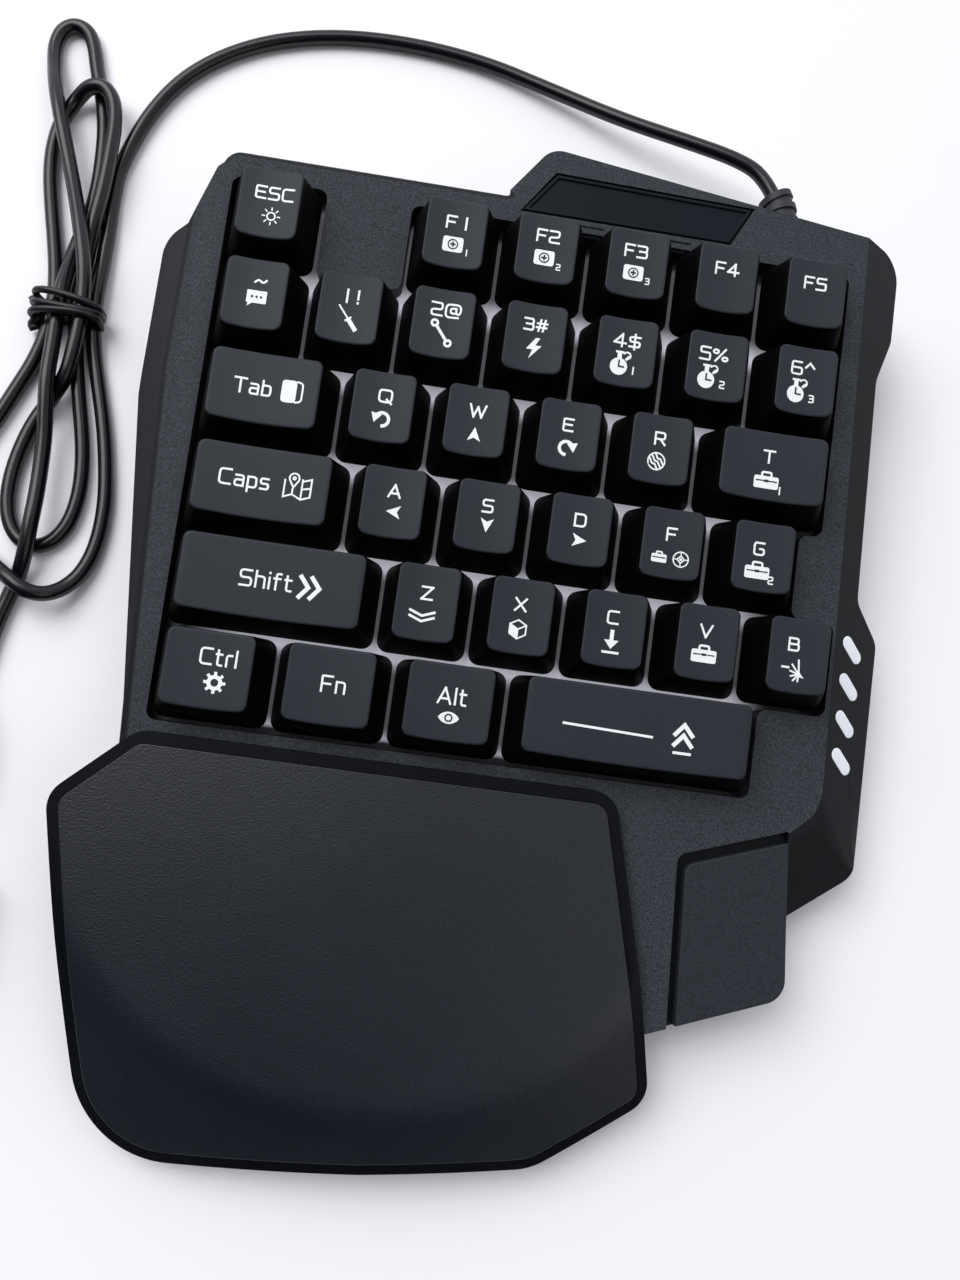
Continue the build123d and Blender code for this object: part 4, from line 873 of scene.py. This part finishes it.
# Each legend: a text or a symbol, where its middle is on the key's top, and a text's own height and stretch
legends = {
    "esc": [("ESC", 0.8, 2), ("sun", 0.7, -2.8)],
    "f1": [("F 1", 0, 2.3), ("kit", -0.2, -2.4), ("1", 2.8, -3.8, 1.2, 1)],
    "f2": [("F2", 0, 2.6), ("kit", -0.3, -2.1), ("2", 2.8, -3.7, 1.2, 1)],
    "f3": [("F3", -0.5, 2.5), ("kit", -0.6, -2.2), ("3", 2.5, -3.6, 1.2, 1)],
    "f4": [("F4", -0.1, 1.9)],
    "f5": [("F5", -0.2, 1.9)],
    "grave": [("~", 0.8, 2.5), ("bubble", 0.4, -1.1)],
    "1": [("1 !", 0.4, 2.4, 2.6, 1.3), ("screwdriver", -0.1, -2.2)],
    "2": [("2@", 0.4, 2.7, 2.6, 1.35), ("spanner", 0, -2.2)],
    "3": [("3#", -0.1, 2.6, 2.3, 1.3), ("bolt", 0, -2.3)],
    "4": [("4$", 0, 2.3, 2.6, 1.35), ("stopwatch", -0.8, -2.5), ("1", 1.9, -3.8, 1.4, 1)],
    "5": [("5%", -0.8, 2.4, 2.6, 1.35), ("stopwatch", -1.5, -2.4), ("2", 1.6, -3.8, 1.4, 1)],
    "6": [("6^", -0.8, 2.4, 2.6, 1.35), ("stopwatch", -1.5, -2.4), ("3", 1.6, -3.8, 1.4, 1)],
    "tab": [("Tab", -2.3, -0.1, 2.85, 1.12), ("barrel", 5.5, 0)],
    "q": [("Q", 0.3, 2.1), ("turnLeft", 0.2, -2.6)],
    "w": [("W", 0.1, 1.95), ("up", 0, -2.9)],
    "e": [("E", -0.3, 2), ("turnRight", -0.2, -2.7)],
    "r": [("R", -0.2, 2.1), ("waves", -0.5, -2.7)],
    "t": [("T", -1, 1.8), ("toolbox", -1.1, -3.1), ("1", 1.9, -5, 1.4, 1)],
    "caps": [("Caps", -3.5, 0.2, 2.95, 1.12), ("map", 7.1, 0)],
    "a": [("A", 0.1, 2.2, 2.45, 1.2), ("left", 0.4, -2)],
    "s": [("S", 0, 2), ("down", 0.2, -1.9)],
    "d": [("D", -0.1, 1.9), ("right", 0.1, -2.2)],
    "f": [("F", -0.2, 1.8), ("smallBox", -2.3, -3.1), ("ring", 2.2, -3.1)],
    "g": [("G", -0.9, 1.5, 2.45, 1.2), ("toolbox", -0.9, -2.9), ("2", 2.1, -4.7, 1.4, 1)],
    "shift": [("Shift", -1, -0.2, 3.05, 1.16), ("forwardTwice", 7.8, -0.5)],
    "z": [("Z", -0.1, 1.8), ("lowChevrons", -0.6, -2.9)],
    "x": [("X", -0.3, 2.2), ("cube", -0.3, -2.8)],
    "c": [("C", -0.5, 2.3), ("lower", -0.3, -2.7)],
    "v": [("V", -0.3, 2.2), ("toolbox", -0.3, -2.4)],
    "b": [("B", -1, 2.1), ("fan", -0.6, -3)],
    "ctrl": [("Ctrl", 1.8, 2.5, 3.05, 1.05), ("cog", 1.7, -2.5)],
    "fn": [("Fn", 0.8, 0.3, 3.05, 1.12)],
    "alt": [("Alt", 0.5, 1.2, 3.05, 1.05), ("eye", 0.3, -3.1)],
    "space": [("line", -5.9, -1.2), ("upTwice", 9.5, -1)],
}


def roundedPath(points, corner=0):
    # Each corner becomes part of a parabola, and long runs get points in between
    points = readPoints(points)
    path = [points[0]]
    for before, here, after in zip(points, points[1:], points[2:]):
        if not corner:
            path.append(here)
            continue
        legs = [(leg, np.linalg.norm(leg)) for leg in (before - here, after - here)]
        start, end = (here + leg / length * min(corner, length / 2) for leg, length in legs)
        shares = np.linspace(0, 1, ink["cornerPoints"])
        path += [start * (1 - s) ** 2 + here * 2 * s * (1 - s) + end * s**2 for s in shares]
    path.append(points[-1])
    dense = [path[0]]
    for start, end in zip(path, path[1:]):
        count = int(math.ceil(np.linalg.norm(end - start) / ink["sample"]))
        dense += [start + (end - start) * step / count for step in range(1, count + 1)]
    return np.array(dense)


def strokePart(path, width):
    # A flat ribbon with square ends: each ring is its left and right edges, below and above
    ahead = unit(np.diff(path, axis=0))
    mean = np.vstack([ahead[:1], ahead[:-1] + ahead[1:], ahead[-1:]])
    closed = np.allclose(path[0], path[-1])
    if closed:
        mean[[0, -1]] = ahead[0] + ahead[-1]
    mean = unit(mean)
    # At a bend of angle a the edge is width / 2 / cos(a / 2) from the line, held to a largest factor
    bend = np.append(1, np.sum(mean[1:] * ahead, axis=1))
    reach = width / 2 / np.clip(bend, 1 / ink["mitre"], 1)
    side = np.stack([-mean[:, 1], mean[:, 0]], axis=1) * reach[:, None]
    spine = path.copy()
    if not closed:
        spine[0] -= ahead[0] * width / 2
        spine[-1] += ahead[-1] * width / 2
    edges = np.stack([spine + side, spine - side, spine - side, spine + side], axis=1)
    level = np.broadcast_to(np.array([0, 0, 1, 1])[None, :, None], (len(path), 4, 1))
    return np.concatenate([edges, level], axis=2).reshape(-1, 3), ringFaces(len(path), 4)


def fillPart(path):
    # A flat plate with the outline of a closed path
    outline = path[:-1] if np.allclose(path[0], path[-1]) else path
    points = [np.column_stack([outline, np.full(len(outline), level)]) for level in (0, 1)]
    return np.vstack(points), ringFaces(2, len(outline))


def textLines(text, height, stretch):
    # A text's strokes, with its middle at 0; small texts have thinner strokes
    lines, x = [], 0
    for letter in text:
        width, strokes = letters[letter]
        for stroke in strokes:
            corner, points = stroke if isinstance(stroke, tuple) else (0, stroke)
            lines.append((corner * height, (readPoints(points) * (stretch, 1) + (x, 0)) * height))
        x += width * stretch + ink["spacing"]
    middle = ((x - ink["spacing"]) * height / 2, height / 2)
    width = ink["stroke"] * min(1, height / ink["fullStrokeFrom"])
    return [(width, points - middle, corner) for corner, points in lines]


def legendParts(name, topWidth):
    # Every mark as (points, faces, finish): a level of 1 lies just over the top and 0 just under it
    # Each kind has its material slot (1 keyTop, 2 keyMark), and 1 where it lies over the others
    kinds = (("fills", 2, 0), ("lines", 2, 0), ("darkFills", 1, 1), ("darkLines", 1, 1))
    found = []
    for sign, x, y, *size in legends[name]:
        form = symbols[sign] if sign in symbols else {"lines": textLines(sign, *(size or ink["textSize"]))}
        for kind, finish, lift in kinds:
            for width, *outline in form.get(kind, []):
                path = roundedPath(*outline)
                points, faces = strokePart(path, width) if width else fillPart(path)
                points[:, :2] += (x, y + keys["shift"])
                # Marks that cross each other lie at slightly different heights
                above = ink["raise"] + ink["step"] * (len(found) % ink["levels"]) + lift * ink["over"]
                level = np.where(points[:, 2] > 0.5, above, -ink["sink"])
                points[:, 2] = dishAt(points[:, 0], topWidth) + level
                found.append((points, faces, finish))
    return found


def addKey(name, row, left, units):
    pitch, stemEnd = keys["pitch"], keys["stemEnd"]
    centre = (keys["blockLeft"] + (left + units / 2) * pitch, keys["blockBack"] - (row + 0.5) * pitch, 0)
    capPoints, capFaces, finish = capPart(row, units)
    posts = [
        postPart(0, keys["stem"], stemEnd, keys["ceiling"]),
        postPart(0, keys["barb"], *(stemEnd + end for end in keys["barbEnds"])),
    ]
    if units > 2:
        offset = (units - 1) * pitch / 2
        for side in (-offset, offset):
            posts.append(postPart(side, keys["post"], keys["postEnd"], keys["ceiling"]))
    marks = legendParts(name, capSize(row, units)[2])
    points, faces = joinParts([(capPoints, capFaces)] + posts + [mark[:2] for mark in marks])
    plain = np.zeros(sum(len(post[1]) for post in posts))
    finish = np.concatenate([finish, plain] + [np.full(len(mark[1]), mark[2]) for mark in marks])
    piece = addMesh("cap_" + name, onDeck(points + centre), faces, "key_" + name, "keySide")
    piece.data.materials.append(materials["keyTop"])
    piece.data.materials.append(materials["keyMark"])
    piece.data.polygons.foreach_set("material_index", finish.astype(np.int32))
    smooth(piece, 40)
    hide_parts("key_" + name)


# The key well's back edge has a low tab beside F3 on either side: its corners across, up and out of the deck

wellTabs = {
    "across": (8.29, 27.34), "foot": -1.3,
    "outline": [(2.8, 93.8, 0.12), (-2.8, 93.8, 0.12), (-1.8, 91.6, -0.6), (1.8, 91.6, -0.6)],
}
tabParts = []
for across in wellTabs["across"]:
    top = np.array(wellTabs["outline"]) + (across, 0, 0)
    foot = np.column_stack([top[:, :2], np.full(len(top), wellTabs["foot"])])
    tabParts.append((np.vstack([foot, top]), ringFaces(2, len(top))))
tabPoints, tabFaces = joinParts(tabParts)
addMesh("keyWellTabs", onDeck(tabPoints), tabFaces, "root", "wing")

# Side lights: a clear lens over each slot, a little proud of the right wing's slope

slotLens = {
    "first": (76.55, 11.6), "pitch": 8.0, "count": 4, "halfRun": 1.9, "radius": 1.45, "turn": -41.0,
    "arcPoints": 12, "rings": ((0, -0.3), (0, 0.03), (0.1, 0.11), (0.4, 0.15)),
    "edge": ((69.32, 101.1), (72.18, -23.2)), "slope": 30.0,
}


def onWing(points):
    # (x, y, height over the wing) in millimetres: the wing falls from its edge on the deck
    rise = math.tan(math.radians(keys["tilt"]))
    ends = [Vector((x, y, keys["height"] + y * rise)) for x, y in slotLens["edge"]]
    turn = Matrix.Rotation(-math.radians(slotLens["slope"]), 3, ends[1] - ends[0])
    normal = np.array(turn @ Vector(deckNormal))
    level = ends[0].z - ((points[:, :2] - np.array(ends[0][:2])) @ normal[:2]) / normal[2]
    return np.column_stack([points[:, :2], level + points[:, 2]]) * mm


lensParts = []
turn = math.radians(slotLens["turn"])
half = slotLens["halfRun"] * np.array([math.cos(turn), math.sin(turn)])
sweep = turn - math.pi / 2 + np.linspace(0, math.pi, slotLens["arcPoints"])
around = np.stack([np.cos(sweep), np.sin(sweep)], axis=1)
for step in range(slotLens["count"]):
    middle = np.array(slotLens["first"]) - (0, step * slotLens["pitch"])
    rings = []
    for inset, level in slotLens["rings"]:
        arc = (slotLens["radius"] - inset) * around
        flat = np.vstack([middle + half + arc, middle - half - arc])
        rings.append(np.column_stack([flat, np.full(len(flat), level)]))
    lensParts.append((np.vstack(rings), ringFaces(len(rings), len(flat))))
lensPoints, lensFaces = joinParts(lensParts)
lensPiece = addMesh("slotLenses", onWing(lensPoints), lensFaces, "root", "lightBar")
smooth(lensPiece, 40)
print("tabs and lenses made")

for row, rowKeys in enumerate(keyRows):
    left = 0
    for key in rowKeys.split():
        name, _, width = key.partition(":")
        units = float(width or 1)
        if name != "-":
            addKey(name, row, left, units)
        left += units
print("keys made")
